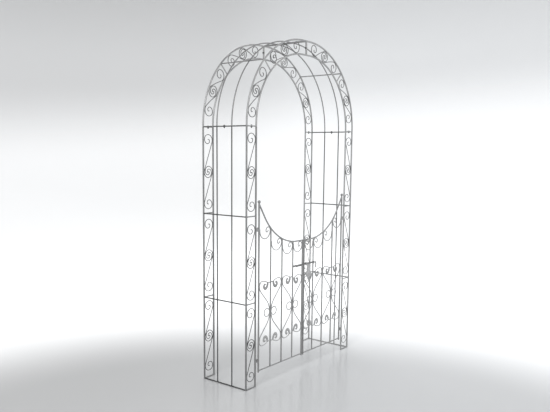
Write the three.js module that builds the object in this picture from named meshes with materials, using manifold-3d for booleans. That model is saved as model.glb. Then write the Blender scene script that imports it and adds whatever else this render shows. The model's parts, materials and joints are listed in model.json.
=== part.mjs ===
// Garden arch with a double gate, in millimetres, +Z up.
// The front, with the gate, faces -Y. The ground is z = 0 and the middle of the passage is x = 0.
// Two steel face frames, front and rear, are each an inverted U of two parallel rods with
// scrolls between them. Side lattices join them below and roof lattices join them above.
// The sections meet in flat strips, bolted at the spring line on both sides and at the crown.
import * as THREE from "three";
import { mergeVertices } from "three/addons/utils/BufferGeometryUtils.js";
import Module from "manifold-3d";

const wasm = await Module();
wasm.setup();

const degrees = THREE.MathUtils.degToRad;

// Overall sizes, measured between rod centre lines
const archWidth = 1250;
const archDepth = 374;
const ladderWidth = 93;
const bayHeight = 569.5;
const legBayCount = 3;
const springStub = 7;
const crownRun = 40;
const midRodSpacing = 128;

// Rods and strips
const postDiameter = 12;
const railDiameter = 8;
const midRodDiameter = 8;
const stripWidth = 11.5;
const stripThickness = 4;
const rungTurn = Math.PI / 4;
const fitGap = 0.3;
const weldTolerance = 0.001;
const cutOverrun = 2;

// Face counts of round forms
const rodSides = 8;
const thinRodSides = 6;
const archSteps = 12;

// Scrolls of the face frames
const scrollWire = 4;
const legScrollShare = 0.365;
const archScrollSpread = degrees(13.8);
const curlStartTurn = degrees(140);
const curlEndTurn = degrees(490);
const curlEndShare = 0.13;
const curlPower = 1.6;
const heartArmTurn = degrees(610);
const stepPower = 1.25;
const curlSteps = 12;
const heartArmSteps = 8;

// The pairs were welded in by eye. For each ladder these are the rises of its leg pairs above the
// middles of their bays, as shares of the bay height and from the lowest, and the turns of its
// lower and upper arch pairs above the spring line.
const scrollPlaces = {
  left_front: { rises: [0.014, -0.023, -0.01], turns: [degrees(23), degrees(67.8)] },
  left_rear: { rises: [0.009, -0.007, -0.019], turns: [degrees(24.8), degrees(69.5)] },
  right_front: { rises: [0.013, -0.011, -0.012], turns: [degrees(24.2), degrees(69.8)] },
  right_rear: { rises: [0.014, -0.019, -0.013], turns: [degrees(24.2), degrees(67.7)] },
};

// Gate
const gateStileDiameter = 12;
const gateBarDiameter = 10;
const gateRailDiameter = 8;
const topRailDiameter = 10;
const hingeGap = 33.6;
const meetingGap = 8;
const gateBarCount = 3;
const gateFootHeight = 90;
const bottomRailRise = 13;
const topRailHeight = 935;
const levelRun = 80;
const straightRun = 58;
const sweepTurn = degrees(57);
const sweepSteps = 8;
const gateWire = 5;
const hookTail = 12;
const hookBite = 2.2;
const hookCurlShare = 0.177;
const hookEndShare = 0.088;
const hookLoopSteps = 7;
const hookCurlSteps = 5;
const hookEndSteps = 3;

// Gate scrolls: each is a bracket along a bar, with a lobe and a leaf at both ends. Their sizes
// are shares of the room across the narrowest one. An arc is its radius as such a share, its turn
// to the left and its number of steps.
const gateScrollHeightShare = 0.46;
const ringShare = 0.57;
const ringSteps = 10;
const neckTurn = degrees(43);
const neckOuterShare = 1.25;
const neckInnerShare = 0.61;
const neckSteps = 3;
const lobeArcs = [
  [0.4, degrees(30), 2],
  [0.265, degrees(60), 3],
  [1.11, degrees(28), 1],
];
const leafArcs = [
  [0.122, degrees(62), 2],
  [0.363, degrees(50), 2],
  [0.163, degrees(170), 4],
];
const leafWidthShare = 0.165;
const leafTipShare = 0.041;
const leafSwellShare = 0.2;
const leafTaperShare = 0.35;
const tieStep = 1;

// Finials
const finialRadius = 10.5;
const finialNeckRadius = 4.5;
const finialNeckHeight = 3;
const finialRows = 5;

// Hinges: an eye on the post and a bent pin on the stile
const lowerHingeRise = 88;
const upperHingeDrop = 164;
const hingePinDiameter = 8;
const hingeEyeDiameter = 14.6;
const hingeEyeHeight = 16;
const hingeEyeDrop = 12;
const hingePinTail = 3;
const hingeClearance = 0.7;

// Slide bolt, its back plate on the right leaf and its cradle on the left leaf
const boltHeightShare = 0.792;
const boltDiameter = 8;
const boltTipRun = 3.4;
const boltReachShare = 1.14;
const boltHandleDrop = 43;
const boltClearance = 0.6;
const plateThickness = 3;
const plateBand = 13;
const shieldCentreShare = 0.46;
const shieldNeckShare = 0.31;
const shieldWidthShare = 0.54;
const shieldHeightShare = 0.45;
const shieldMiddleShare = 0.61;
const shieldSteps = 12;
const guideWidth = 9;
const guideWall = 3.2;
const guideInset = 18;
const cradleShare = 0.56;

// Joint bolts
const jointBoltDiameter = 5;
const jointHeadDiameter = 10;
const jointHeadHeight = 3.5;
const jointNutDiameter = 10;
const jointNutHeight = 5;
const jointBoltTail = 3;

// Derived places
const postRadius = postDiameter / 2;
const railRadius = railDiameter / 2;
const midRodRadius = midRodDiameter / 2;
const halfWidth = archWidth / 2;
const halfDepth = archDepth / 2;
const innerPost = halfWidth - ladderWidth;
const ladderMiddle = halfWidth - ladderWidth / 2;
const baseHeight = railRadius;
const jointHeight = baseHeight + bayHeight * legBayCount;
const springHeight = jointHeight + springStub;
const archRadius = halfWidth - crownRun;
const innerRadius = archRadius - ladderWidth;
const middleRadius = archRadius - ladderWidth / 2;
const crownHeight = springHeight + archRadius;
const halfGap = fitGap / 2;
const scrollRadius = ladderWidth / 2 - postRadius - fitGap - scrollWire / 2;
const legScrollSpacing = legScrollShare * bayHeight;
const archScrollSpacing = archScrollSpread * middleRadius;

const stileRadius = gateStileDiameter / 2;
const barRadius = gateBarDiameter / 2;
const topRailRadius = topRailDiameter / 2;
const gatePlane = -halfDepth;
const hingeStile = innerPost - hingeGap;
const hingeAxis = innerPost - hingeGap / 2;
const meetingStile = meetingGap / 2 + stileRadius;
const barPitch = hingeStile / (gateBarCount + 1);
const sweepRadius = (hingeStile - levelRun - straightRun) / Math.sin(sweepTurn);
const sweepRise = sweepRadius * (1 - Math.cos(sweepTurn));
const hingeStileHeight = topRailHeight + sweepRise + straightRun * Math.tan(sweepTurn);
const hingeHeights = [gateFootHeight + lowerHingeRise, hingeStileHeight - upperHingeDrop];
const bottomRailHeight = gateFootHeight + bottomRailRise;
const gateHeight = topRailHeight - bottomRailHeight;
const gateScrollHeight = bottomRailHeight + gateScrollHeightShare * gateHeight;
const hookCurlRadius = hookCurlShare * barPitch;
const scrollWaist = barRadius + fitGap + gateWire / 2;
const scrollRoom = barPitch - meetingStile - stileRadius - fitGap - gateWire / 2 - scrollWaist;
const neckOuterRadius = neckOuterShare * scrollRoom;
const neckInnerRadius = neckInnerShare * scrollRoom;
const leafWidth = leafWidthShare * scrollRoom;
const leafTipWidth = leafTipShare * scrollRoom;
const ringRadius = (ringShare * scrollRoom) / 2;
const boltHeight = bottomRailHeight + boltHeightShare * gateHeight;
const boltTipReach = barPitch + boltTipRun;
const boltReach = boltReachShare * barPitch;
const boltRadius = boltDiameter / 2;
const platePlane = gatePlane - stileRadius - fitGap;
const boltPlane = platePlane - plateThickness - boltClearance / 2 - boltRadius;
const guideReach = boltPlane - boltRadius - boltClearance / 2 - guideWall;

// Materials
function paint(colour, roughness, metalness) {
  return new THREE.MeshStandardMaterial({ color: colour, roughness, metalness });
}
const framePaint = paint(0xa9abad, 0.45, 0.35);
const scrollPaint = paint(0xb4b6b8, 0.45, 0.35);
const gatePaint = paint(0xa2a4a6, 0.45, 0.35);
const zinc = paint(0x8f9194, 0.35, 0.85);

// A closed geometry as a solid that can be joined and cut
function solidOf(geometry) {
  geometry.deleteAttribute("normal");
  geometry.deleteAttribute("uv");
  const merged = mergeVertices(geometry, weldTolerance);
  return new wasm.Manifold(
    new wasm.Mesh({
      numProp: 3,
      vertProperties: new Float32Array(merged.attributes.position.array),
      triVerts: new Uint32Array(merged.index.array),
    }),
  );
}

function joined(solids) {
  return solids.reduce((whole, piece) => whole.add(piece));
}

function meshOf(name, solid, material) {
  const { vertProperties, triVerts } = solid.getMesh();
  const geometry = new THREE.BufferGeometry();
  geometry.setAttribute("position", new THREE.BufferAttribute(vertProperties, 3));
  geometry.setIndex(new THREE.BufferAttribute(triVerts, 1));
  const faceted = geometry.toNonIndexed();
  faceted.computeVertexNormals();
  const mesh = new THREE.Mesh(faceted, material);
  mesh.name = name;
  return mesh;
}

// A polygon whose flats lie at the radius, so that clearances hold on the flats
function polygonRadius(radius, sides) {
  return radius / Math.cos(Math.PI / sides);
}

// A straight rod between two points
function rod(from, to, radius, sides = rodSides) {
  const axis = new THREE.Vector3().subVectors(to, from);
  const across = polygonRadius(radius, sides);
  const geometry = new THREE.CylinderGeometry(across, across, axis.length(), sides, 1, false, Math.PI / sides);
  const turn = new THREE.Quaternion().setFromUnitVectors(new THREE.Vector3(0, 1, 0), axis.normalize());
  geometry.applyQuaternion(turn);
  geometry.translate((from.x + to.x) / 2, (from.y + to.y) / 2, (from.z + to.z) / 2);
  return solidOf(geometry);
}

// A box from its centre and its three widths
function block(centre, widths) {
  const geometry = new THREE.BoxGeometry(widths.x, widths.y, widths.z);
  geometry.translate(centre.x, centre.y, centre.z);
  return solidOf(geometry);
}

// A path that keeps its corners where its points are
class CornerPath extends THREE.Curve {
  constructor(points) {
    super();
    this.points = points;
  }
  getUtoTmapping(share) {
    return share;
  }
  getPoint(share) {
    const last = this.points.length - 1;
    const place = Math.min(Math.max(share, 0), 1) * last;
    const index = Math.min(Math.floor(place), last - 1);
    return new THREE.Vector3().lerpVectors(this.points[index], this.points[index + 1], place - index);
  }
}

// A rod bent along points
function bentRod(points, radius, sides) {
  const corners = [];
  for (let i = 0; i < sides; i++) {
    const angle = ((2 * i + 1) * Math.PI) / sides;
    const reach = polygonRadius(radius, sides);
    corners.push(new THREE.Vector2(reach * Math.cos(angle), reach * Math.sin(angle)));
  }
  return solidOf(
    new THREE.ExtrudeGeometry(new THREE.Shape(corners), {
      steps: points.length - 1,
      extrudePath: new CornerPath(points),
      bevelEnabled: false,
    }),
  );
}

// A flat outline in the plane of a face frame, given its thickness about a plane of y
function plate(outline, planeY, thickness) {
  const geometry = new THREE.ExtrudeGeometry(new THREE.Shape(outline), {
    depth: thickness,
    bevelEnabled: false,
  });
  geometry.rotateX(Math.PI / 2);
  geometry.translate(0, planeY + thickness / 2, 0);
  return solidOf(geometry);
}

// A wire of square section along points of a face frame's plane, as wide as widthAt says
function flatWire(points, widthAt, planeY, thickness) {
  const last = points.length - 1;
  const left = [];
  const right = [];
  points.forEach((point, i) => {
    const before = points[Math.max(i - 1, 0)];
    const after = points[Math.min(i + 1, last)];
    const entry = new THREE.Vector2().subVectors(point, i > 0 ? before : point);
    const leave = new THREE.Vector2().subVectors(i < last ? after : point, point);
    if (i === 0) entry.copy(leave);
    if (i === last) leave.copy(entry);
    const heading = entry.normalize().add(leave.normalize());
    const halfTurn = heading.length() / 2;
    const normal = new THREE.Vector2(-heading.y, heading.x).normalize();
    const reach = widthAt(i) / 2 / halfTurn;
    left.push(point.clone().addScaledVector(normal, reach));
    right.push(point.clone().addScaledVector(normal, -reach));
  });
  return plate([...left, ...right.reverse()], planeY, thickness);
}

const at = (x, y, z) => new THREE.Vector3(x, y, z);
const sides = [
  ["left", -1],
  ["right", 1],
];
const faces = [
  ["front", -halfDepth],
  ["rear", halfDepth],
];

const arch = new THREE.Group();

// A place on the arch, from a radius and an angle above the spring line. The arch runs in
// straight steps, so between the ends of a step the radius shrinks to its chord.
function archPlace(side, radius, angle, planeY) {
  const step = Math.PI / 2 / archSteps;
  const index = Math.min(Math.floor(angle / step), archSteps - 1);
  const chord = (radius * Math.cos(step / 2)) / Math.cos(angle - (index + 0.5) * step);
  const x = side * (crownRun + chord * Math.cos(angle));
  return at(x, planeY, springHeight + chord * Math.sin(angle));
}

// The points of one half of an arch rod, from the spring-line joint to the crown
function archRodPoints(side, radius, planeY) {
  const points = [at(side * (crownRun + radius), planeY, jointHeight + halfGap)];
  for (let i = 0; i <= archSteps; i++) {
    points.push(archPlace(side, radius, (i / archSteps) * (Math.PI / 2), planeY));
  }
  points.push(at(side * halfGap, planeY, springHeight + radius));
  return points;
}

// A bolt hole, cut through both strips of a joint
function boltHole(place, axis) {
  const reach = axis.clone().multiplyScalar(stripThickness + cutOverrun);
  const from = place.clone().sub(reach);
  const to = place.clone().add(reach);
  return rod(from, to, jointBoltDiameter / 2 + fitGap, thinRodSides);
}

// A leg ladder: two posts, three rungs and the joint strip on top
function addLegLadder(sideName, side, faceName, planeY) {
  const top = jointHeight - halfGap;
  const outer = side * halfWidth;
  const inner = side * innerPost;
  const pieces = [
    rod(at(outer, planeY, 0), at(outer, planeY, top), postRadius),
    rod(at(inner, planeY, 0), at(inner, planeY, top), postRadius),
  ];
  for (let bay = 0; bay < legBayCount; bay++) {
    const height = baseHeight + bay * bayHeight;
    pieces.push(rod(at(outer, planeY, height), at(inner, planeY, height), railRadius, thinRodSides));
  }
  const middle = side * ladderMiddle;
  const strip = block(
    at(middle, planeY, top - stripThickness / 2),
    at(ladderWidth, stripWidth, stripThickness),
  );
  pieces.push(strip.subtract(boltHole(at(middle, planeY, jointHeight), at(0, 0, 1))));
  let ladder = joined(pieces);
  if (planeY === gatePlane) {
    for (const height of hingeHeights) ladder = withHingeEye(ladder, side, height);
  }
  arch.add(meshOf(`${sideName}_${faceName}_leg`, ladder, framePaint));
}

// The eye that carries a gate pin, welded to the front inner post
function withHingeEye(ladder, side, height) {
  const axisX = side * hingeAxis;
  const bottom = height - hingeEyeDrop;
  const top = bottom + hingeEyeHeight;
  const eye = rod(at(axisX, gatePlane, bottom), at(axisX, gatePlane, top), hingeEyeDiameter / 2);
  const web = block(
    at(side * (hingeAxis + hingeGap / 4), gatePlane, (bottom + top) / 2),
    at(hingeGap / 2, railDiameter, railDiameter),
  );
  const bore = rod(
    at(axisX, gatePlane, bottom - cutOverrun),
    at(axisX, gatePlane, top + cutOverrun),
    hingePinDiameter / 2 + hingeClearance,
  );
  return ladder.add(eye.add(web).subtract(bore));
}

// A side lattice: two mid rods, three side bars and the joint strip
function addSideLattice(sideName, side) {
  const x = side * halfWidth;
  const top = jointHeight - halfGap;
  const end = halfDepth - postRadius - fitGap;
  const pieces = [];
  for (const y of [-midRodSpacing / 2, midRodSpacing / 2]) {
    pieces.push(rod(at(x, y, 0), at(x, y, top), midRodRadius, thinRodSides));
  }
  for (let bay = 0; bay < legBayCount; bay++) {
    const height = baseHeight + bay * bayHeight;
    pieces.push(rod(at(x, -end, height), at(x, end, height), railRadius, thinRodSides));
  }
  const strip = block(at(x, 0, top - stripThickness / 2), at(stripWidth, 2 * end, stripThickness));
  pieces.push(strip.subtract(boltHole(at(x, 0, jointHeight), at(0, 0, 1))));
  arch.add(meshOf(`${sideName}_side_lattice`, joined(pieces), framePaint));
}

// Half an arch of a face frame: outer and inner rods, a rung and two joint strips
function addArchLadder(sideName, side, faceName, planeY) {
  const bottom = jointHeight + halfGap;
  const pieces = [
    bentRod(archRodPoints(side, archRadius, planeY), postRadius, rodSides),
    bentRod(archRodPoints(side, innerRadius, planeY), postRadius, rodSides),
    rod(
      archPlace(side, innerRadius, rungTurn, planeY),
      archPlace(side, archRadius, rungTurn, planeY),
      railRadius,
      thinRodSides,
    ),
  ];
  const middle = side * ladderMiddle;
  const springStrip = block(
    at(middle, planeY, bottom + stripThickness / 2),
    at(ladderWidth, stripWidth, stripThickness),
  );
  const crownMiddle = crownHeight - ladderWidth / 2;
  const crownStrip = block(
    at(side * (halfGap + stripThickness / 2), planeY, crownMiddle),
    at(stripThickness, stripWidth, ladderWidth),
  );
  pieces.push(springStrip.subtract(boltHole(at(middle, planeY, jointHeight), at(0, 0, 1))));
  pieces.push(crownStrip.subtract(boltHole(at(0, planeY, crownMiddle), at(1, 0, 0))));
  arch.add(meshOf(`${sideName}_${faceName}_arch`, joined(pieces), framePaint));
}

// Half the roof: two curved mid rods, a depth bar and two joint strips
function addRoofLattice(sideName, side) {
  const end = halfDepth - postRadius - fitGap;
  const pieces = [];
  for (const y of [-midRodSpacing / 2, midRodSpacing / 2]) {
    pieces.push(bentRod(archRodPoints(side, archRadius, y), midRodRadius, thinRodSides));
  }
  pieces.push(
    rod(
      archPlace(side, archRadius, rungTurn, -end),
      archPlace(side, archRadius, rungTurn, end),
      railRadius,
      thinRodSides,
    ),
  );
  const x = side * halfWidth;
  const springStrip = block(
    at(x, 0, jointHeight + halfGap + stripThickness / 2),
    at(stripWidth, 2 * end, stripThickness),
  );
  const crownStrip = block(
    at(side * (halfGap + stripThickness / 2), 0, crownHeight),
    at(stripThickness, 2 * end, stripWidth),
  );
  pieces.push(springStrip.subtract(boltHole(at(x, 0, jointHeight), at(0, 0, 1))));
  pieces.push(crownStrip.subtract(boltHole(at(0, 0, crownHeight), at(1, 0, 0))));
  arch.add(meshOf(`${sideName}_roof_lattice`, joined(pieces), framePaint));
}

// Half of a scroll pair, from its free curl to the middle of the shared heart. A point is
// (across, along): across grows towards the passage and along grows up the ladder.
// The free curl winds about (0, spacing), and touches a post where its angle is 0. The arm winds
// about (0, 0), touches the other post at half a turn, and ends where its radius is 0.
function scrollHalf(spacing) {
  const lean = Math.asin((2 * scrollRadius) / spacing);
  const heartStartTurn = 1.5 * Math.PI;
  const points = [];
  const addPoint = (radius, angle, along) => {
    points.push(new THREE.Vector2(radius * Math.cos(angle), along + radius * Math.sin(angle)));
  };
  for (let i = 0; i <= curlSteps; i++) {
    const angle = curlEndTurn * (1 - i / curlSteps) ** stepPower;
    const wound = Math.max(0, (angle - curlStartTurn) / (curlEndTurn - curlStartTurn));
    const shrink = (1 - curlEndShare) * (1 - wound) ** curlPower;
    addPoint(scrollRadius * (curlEndShare + shrink), angle, spacing);
  }
  addPoint(scrollRadius, -lean, spacing);
  addPoint(scrollRadius, Math.PI - lean, 0);
  for (let i = 0; i < heartArmSteps; i++) {
    const angle = Math.PI + (heartArmTurn - Math.PI) * (i / heartArmSteps) ** stepPower;
    const wound = Math.max(0, (angle - heartStartTurn) / (heartArmTurn - heartStartTurn));
    addPoint(scrollRadius * (1 - wound), angle, 0);
  }
  return points;
}

// A scroll pair is its half, the middle, and the half turned about the middle
function scrollPair(spacing) {
  const half = scrollHalf(spacing);
  const turned = half.map((point) => point.clone().negate()).reverse();
  return [...half, new THREE.Vector2(0, 0), ...turned];
}

function addLegScrolls(sideName, side, faceName, planeY) {
  const { rises } = scrollPlaces[`${sideName}_${faceName}`];
  for (let bay = 0; bay < legBayCount; bay++) {
    const middle = baseHeight + (bay + 0.5 + rises[bay]) * bayHeight;
    const points = scrollPair(legScrollSpacing).map(
      (point) => new THREE.Vector2(side * (ladderMiddle - point.x), middle + point.y),
    );
    const wire = flatWire(points, () => scrollWire, planeY, scrollWire);
    arch.add(meshOf(`${sideName}_${faceName}_leg_scroll_${bay + 1}`, wire, scrollPaint));
  }
}

function addArchScrolls(sideName, side, faceName, planeY) {
  const { turns } = scrollPlaces[`${sideName}_${faceName}`];
  for (const [bay, bayName] of ["lower", "upper"].entries()) {
    const points = scrollPair(archScrollSpacing).map((point) => {
      const angle = turns[bay] + point.y / middleRadius;
      const place = archPlace(side, middleRadius - point.x, angle, planeY);
      return new THREE.Vector2(place.x, place.z);
    });
    const wire = flatWire(points, () => scrollWire, planeY, scrollWire);
    arch.add(meshOf(`${sideName}_${faceName}_arch_scroll_${bayName}`, wire, scrollPaint));
  }
}

// A joint bolt with its nut done up, along an axis through the middle of a joint
function addJointBolt(name, place, axis) {
  const along = (distance) => place.clone().addScaledVector(axis, distance);
  const grip = halfGap + stripThickness + fitGap;
  const tailEnd = grip + jointNutHeight + jointBoltTail;
  const bolt = joined([
    rod(along(-tailEnd), along(grip + jointHeadHeight / 2), jointBoltDiameter / 2, thinRodSides),
    rod(along(grip), along(grip + jointHeadHeight), jointHeadDiameter / 2, thinRodSides),
    rod(along(-grip), along(-grip - jointNutHeight), jointNutDiameter / 2, thinRodSides),
  ]);
  arch.add(meshOf(name, bolt, zinc));
}

// The height of the gate's top rail above a distance from the meeting line, or the height of
// the line that runs below it at a drop
function topRailAt(distance, drop = 0) {
  if (distance <= levelRun) return topRailHeight - drop;
  const reach = sweepRadius + drop;
  return topRailHeight + sweepRadius - Math.sqrt(reach ** 2 - (distance - levelRun) ** 2);
}

// The centre line of one leaf's top rail, from the meeting line to the hinge stile
function topRailPoints(side) {
  const points = [at(side * (meetingGap / 2), gatePlane, topRailHeight)];
  for (let i = 0; i <= sweepSteps; i++) {
    const turn = (i / sweepSteps) * sweepTurn;
    const x = levelRun + sweepRadius * Math.sin(turn);
    points.push(at(side * x, gatePlane, topRailHeight + sweepRadius * (1 - Math.cos(turn))));
  }
  points.push(at(side * hingeStile, gatePlane, hingeStileHeight));
  return points;
}

// A leaf's frame: two stiles, the bottom rail, three bars and two hinge pins
function addLeafFrame(sideName, side) {
  const top = topRailHeight + sweepRadius;
  const upright = (x, from, to, radius) =>
    rod(at(side * x, gatePlane, from), at(side * x, gatePlane, to), radius);
  const bars = [upright(meetingStile, gateFootHeight, top, stileRadius)];
  for (let i = 1; i <= gateBarCount; i++) {
    bars.push(upright(i * barPitch, bottomRailHeight, top, barRadius));
  }
  const under = topRailPoints(side).map((point) => at(point.x, point.y, point.z));
  const above = at(0, 0, top);
  const clearRadius = topRailRadius + fitGap;
  const railClearance = bentRod(under, clearRadius, thinRodSides);
  const outline = under.map((point) => new THREE.Vector2(point.x, point.z));
  const corner = under[under.length - 1];
  outline.push(new THREE.Vector2(corner.x, above.z + cutOverrun));
  outline.push(new THREE.Vector2(0, above.z + cutOverrun));
  outline.push(new THREE.Vector2(0, topRailHeight));
  const waste = plate(outline, gatePlane, 2 * gateStileDiameter);
  const pieces = [
    joined(bars).subtract(railClearance.add(waste)),
    upright(hingeStile, gateFootHeight, hingeStileHeight, stileRadius),
    rod(
      at(side * meetingStile, gatePlane, bottomRailHeight),
      at(side * hingeStile, gatePlane, bottomRailHeight),
      gateRailDiameter / 2,
      thinRodSides,
    ),
  ];
  for (const height of hingeHeights) pieces.push(hingePin(side, height));
  arch.add(meshOf(`${sideName}_leaf_frame`, joined(pieces), gatePaint));
}

// A bent hinge pin: an arm out of the stile, then a pin down through the eye
function hingePin(side, height) {
  const pinRadius = hingePinDiameter / 2;
  const armHeight = height - hingeEyeDrop + hingeEyeHeight + fitGap + pinRadius;
  const pinEnd = height - hingeEyeDrop - hingePinTail;
  const axisX = side * hingeAxis;
  const arm = rod(
    at(side * hingeStile, gatePlane, armHeight),
    at(side * (hingeAxis + pinRadius), gatePlane, armHeight),
    pinRadius,
  );
  return arm.add(rod(at(axisX, gatePlane, pinEnd), at(axisX, gatePlane, armHeight), pinRadius));
}

// Points along arcs: each arc is a radius and a turn to the left in a number of steps
function arcChain(start, heading, arcs) {
  const points = [start.clone()];
  let direction = heading;
  for (const [radius, turn, steps] of arcs) {
    for (let i = 0; i < steps; i++) {
      const step = turn / steps;
      const chord = 2 * radius * Math.sin(Math.abs(step) / 2);
      direction += step / 2;
      const last = points[points.length - 1];
      const next = last.clone();
      next.x += chord * Math.cos(direction);
      next.y += chord * Math.sin(direction);
      points.push(next);
      direction += step / 2;
    }
  }
  return points;
}

// A hook scroll under the top rail, between the bar on its hinge side and the one on its
// meeting side: down the first, round, up the second and into a curl that meets the rail
function hookPoints(hingeSide, hingeSideRadius, meetingSide, meetingSideRadius) {
  const start = hingeSide - hingeSideRadius - fitGap - gateWire / 2;
  const far = meetingSide + meetingSideRadius + fitGap + gateWire / 2;
  const loopRadius = (start - far) / 2;
  const drop = topRailRadius + hookCurlRadius + gateWire / 2 - hookBite;
  const height = topRailAt(far + hookCurlRadius, drop);
  const arcs = [
    [loopRadius, -Math.PI, hookLoopSteps],
    [hookCurlRadius, -Math.PI, hookCurlSteps],
    [hookEndShare * barPitch, -Math.PI, hookEndSteps],
  ];
  const turned = arcChain(new THREE.Vector2(start, height), -Math.PI / 2, arcs);
  return [new THREE.Vector2(start, height + hookTail), ...turned];
}

// A leaf's top rail with its four hooks, clear of the hinge stile
function addTopRail(sideName, side) {
  const pieces = [bentRod(topRailPoints(side), topRailRadius, thinRodSides)];
  for (let i = 0; i <= gateBarCount; i++) {
    const isFirst = i === 0;
    const isLast = i === gateBarCount;
    const points = hookPoints(
      isLast ? hingeStile : (i + 1) * barPitch,
      isLast ? stileRadius : barRadius,
      isFirst ? meetingStile : i * barPitch,
      isFirst ? stileRadius : barRadius,
    );
    const placed = points.map((point) => new THREE.Vector2(side * point.x, point.y));
    pieces.push(flatWire(placed, () => gateWire, gatePlane, gateWire));
  }
  const clearance = rod(
    at(side * hingeStile, gatePlane, gateFootHeight),
    at(side * hingeStile, gatePlane, hingeStileHeight + gateStileDiameter),
    stileRadius + fitGap,
  );
  arch.add(meshOf(`${sideName}_leaf_top_rail`, joined(pieces).subtract(clearance), gatePaint));
}

// The upper half of a gate scroll, from its waist at the bar, past the neighbour it touches and
// back, to the tip of its leaf. x is the distance from the bar and y the height above the waist.
function gateScrollHalf(reach) {
  const neck = (neckOuterRadius + neckInnerRadius) * (1 - Math.cos(neckTurn));
  const straight = (reach - scrollWaist - neck) / Math.sin(neckTurn);
  const start = new THREE.Vector2(scrollWaist, 0);
  const rise = arcChain(start, Math.PI / 2, [[neckOuterRadius, -neckTurn, neckSteps]]);
  const heading = Math.PI / 2 - neckTurn;
  const lobeStart = rise[rise.length - 1].clone();
  lobeStart.x += straight * Math.cos(heading);
  lobeStart.y += straight * Math.sin(heading);
  const lobe = [...lobeArcs, ...leafArcs].map(([share, turn, steps]) => [
    share * scrollRoom,
    turn,
    steps,
  ]);
  const arcs = [[neckInnerRadius, neckTurn, neckSteps], ...lobe];
  return [...rise, ...arcChain(lobeStart, heading, arcs)];
}

// A gate scroll beside a bar, with its ring: a bracket of two mirrored halves. Short ties hold the
// backs of its leaves to the bar.
function addGateScroll(name, side, bar, direction, neighbourDistance, neighbourRadius) {
  const reach = neighbourDistance - neighbourRadius - fitGap - gateWire / 2;
  const upper = gateScrollHalf(reach);
  const lower = upper.map((point) => new THREE.Vector2(point.x, -point.y)).slice(1);
  const placed = (x, y) => new THREE.Vector2(side * (bar + direction * x), gateScrollHeight + y);
  const points = [...lower.reverse(), ...upper].map((point) => placed(point.x, point.y));
  const leafSteps = leafArcs.reduce((total, [, , steps]) => total + steps, 0);
  const widthAt = (i) => {
    const fromTip = Math.min(i, points.length - 1 - i) / leafSteps;
    const swell = THREE.MathUtils.clamp((1 - fromTip) / leafSwellShare, 0, 1);
    const taper = Math.min(fromTip / leafTaperShare, 1);
    const swollen = gateWire + (leafWidth - gateWire) * swell;
    return Math.min(swollen, leafTipWidth + (leafWidth - leafTipWidth) * taper);
  };
  const tied = upper[upper.length - 1 - leafSteps + tieStep];
  const ties = [tied.y, -tied.y].map((height) => {
    const start = placed(barRadius + fitGap, height);
    const end = placed(tied.x, height);
    const widths = at(Math.abs(end.x - start.x), gateWire, gateWire);
    return block(at((start.x + end.x) / 2, gatePlane, start.y), widths);
  });
  const ringCentre = bar + direction * (scrollWaist + gateWire / 2 + ringRadius);
  const outline = [];
  const opening = [];
  const centre = new THREE.Vector2(side * ringCentre, gateScrollHeight);
  for (let i = 0; i < ringSteps; i++) {
    const angle = (i / ringSteps) * 2 * Math.PI;
    const away = new THREE.Vector2(-side * direction * Math.cos(angle), Math.sin(angle));
    outline.push(centre.clone().addScaledVector(away, ringRadius + gateWire / 2));
    opening.push(centre.clone().addScaledVector(away, ringRadius - gateWire / 2));
  }
  const ring = plate(outline, gatePlane, gateWire).subtract(
    plate(opening, gatePlane, gateWire + 2 * cutOverrun),
  );
  const wire = flatWire(points, widthAt, gatePlane, gateWire);
  arch.add(meshOf(name, joined([wire, ring, ...ties]), gatePaint));
}

function addGateScrolls(sideName, side) {
  const outerBar = gateBarCount * barPitch;
  const innerBar = barPitch;
  addGateScroll(`${sideName}_leaf_scroll_1`, side, outerBar, 1, hingeStile - outerBar, stileRadius);
  addGateScroll(`${sideName}_leaf_scroll_2`, side, outerBar, -1, barPitch, barRadius);
  addGateScroll(`${sideName}_leaf_scroll_3`, side, innerBar, 1, barPitch, barRadius);
  addGateScroll(`${sideName}_leaf_scroll_4`, side, innerBar, -1, innerBar - meetingStile, stileRadius);
}

// A ball finial on top of a hinge stile
function addFinial(sideName, side) {
  const base = hingeStileHeight + fitGap;
  const ballCentre = finialNeckHeight + Math.sqrt(finialRadius ** 2 - finialNeckRadius ** 2);
  const profile = [new THREE.Vector2(0, 0), new THREE.Vector2(finialNeckRadius, 0)];
  const startTurn = Math.asin(finialNeckRadius / finialRadius);
  for (let i = 0; i < finialRows; i++) {
    const angle = Math.PI - startTurn - (i / finialRows) * (Math.PI - startTurn);
    const height = ballCentre + finialRadius * Math.cos(angle);
    profile.push(new THREE.Vector2(finialRadius * Math.sin(angle), height));
  }
  profile.push(new THREE.Vector2(0, ballCentre + finialRadius));
  const geometry = new THREE.LatheGeometry(profile, rodSides);
  geometry.rotateX(Math.PI / 2);
  geometry.translate(side * hingeStile, gatePlane, base);
  arch.add(meshOf(`${sideName}_finial`, solidOf(geometry), gatePaint));
}

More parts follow.
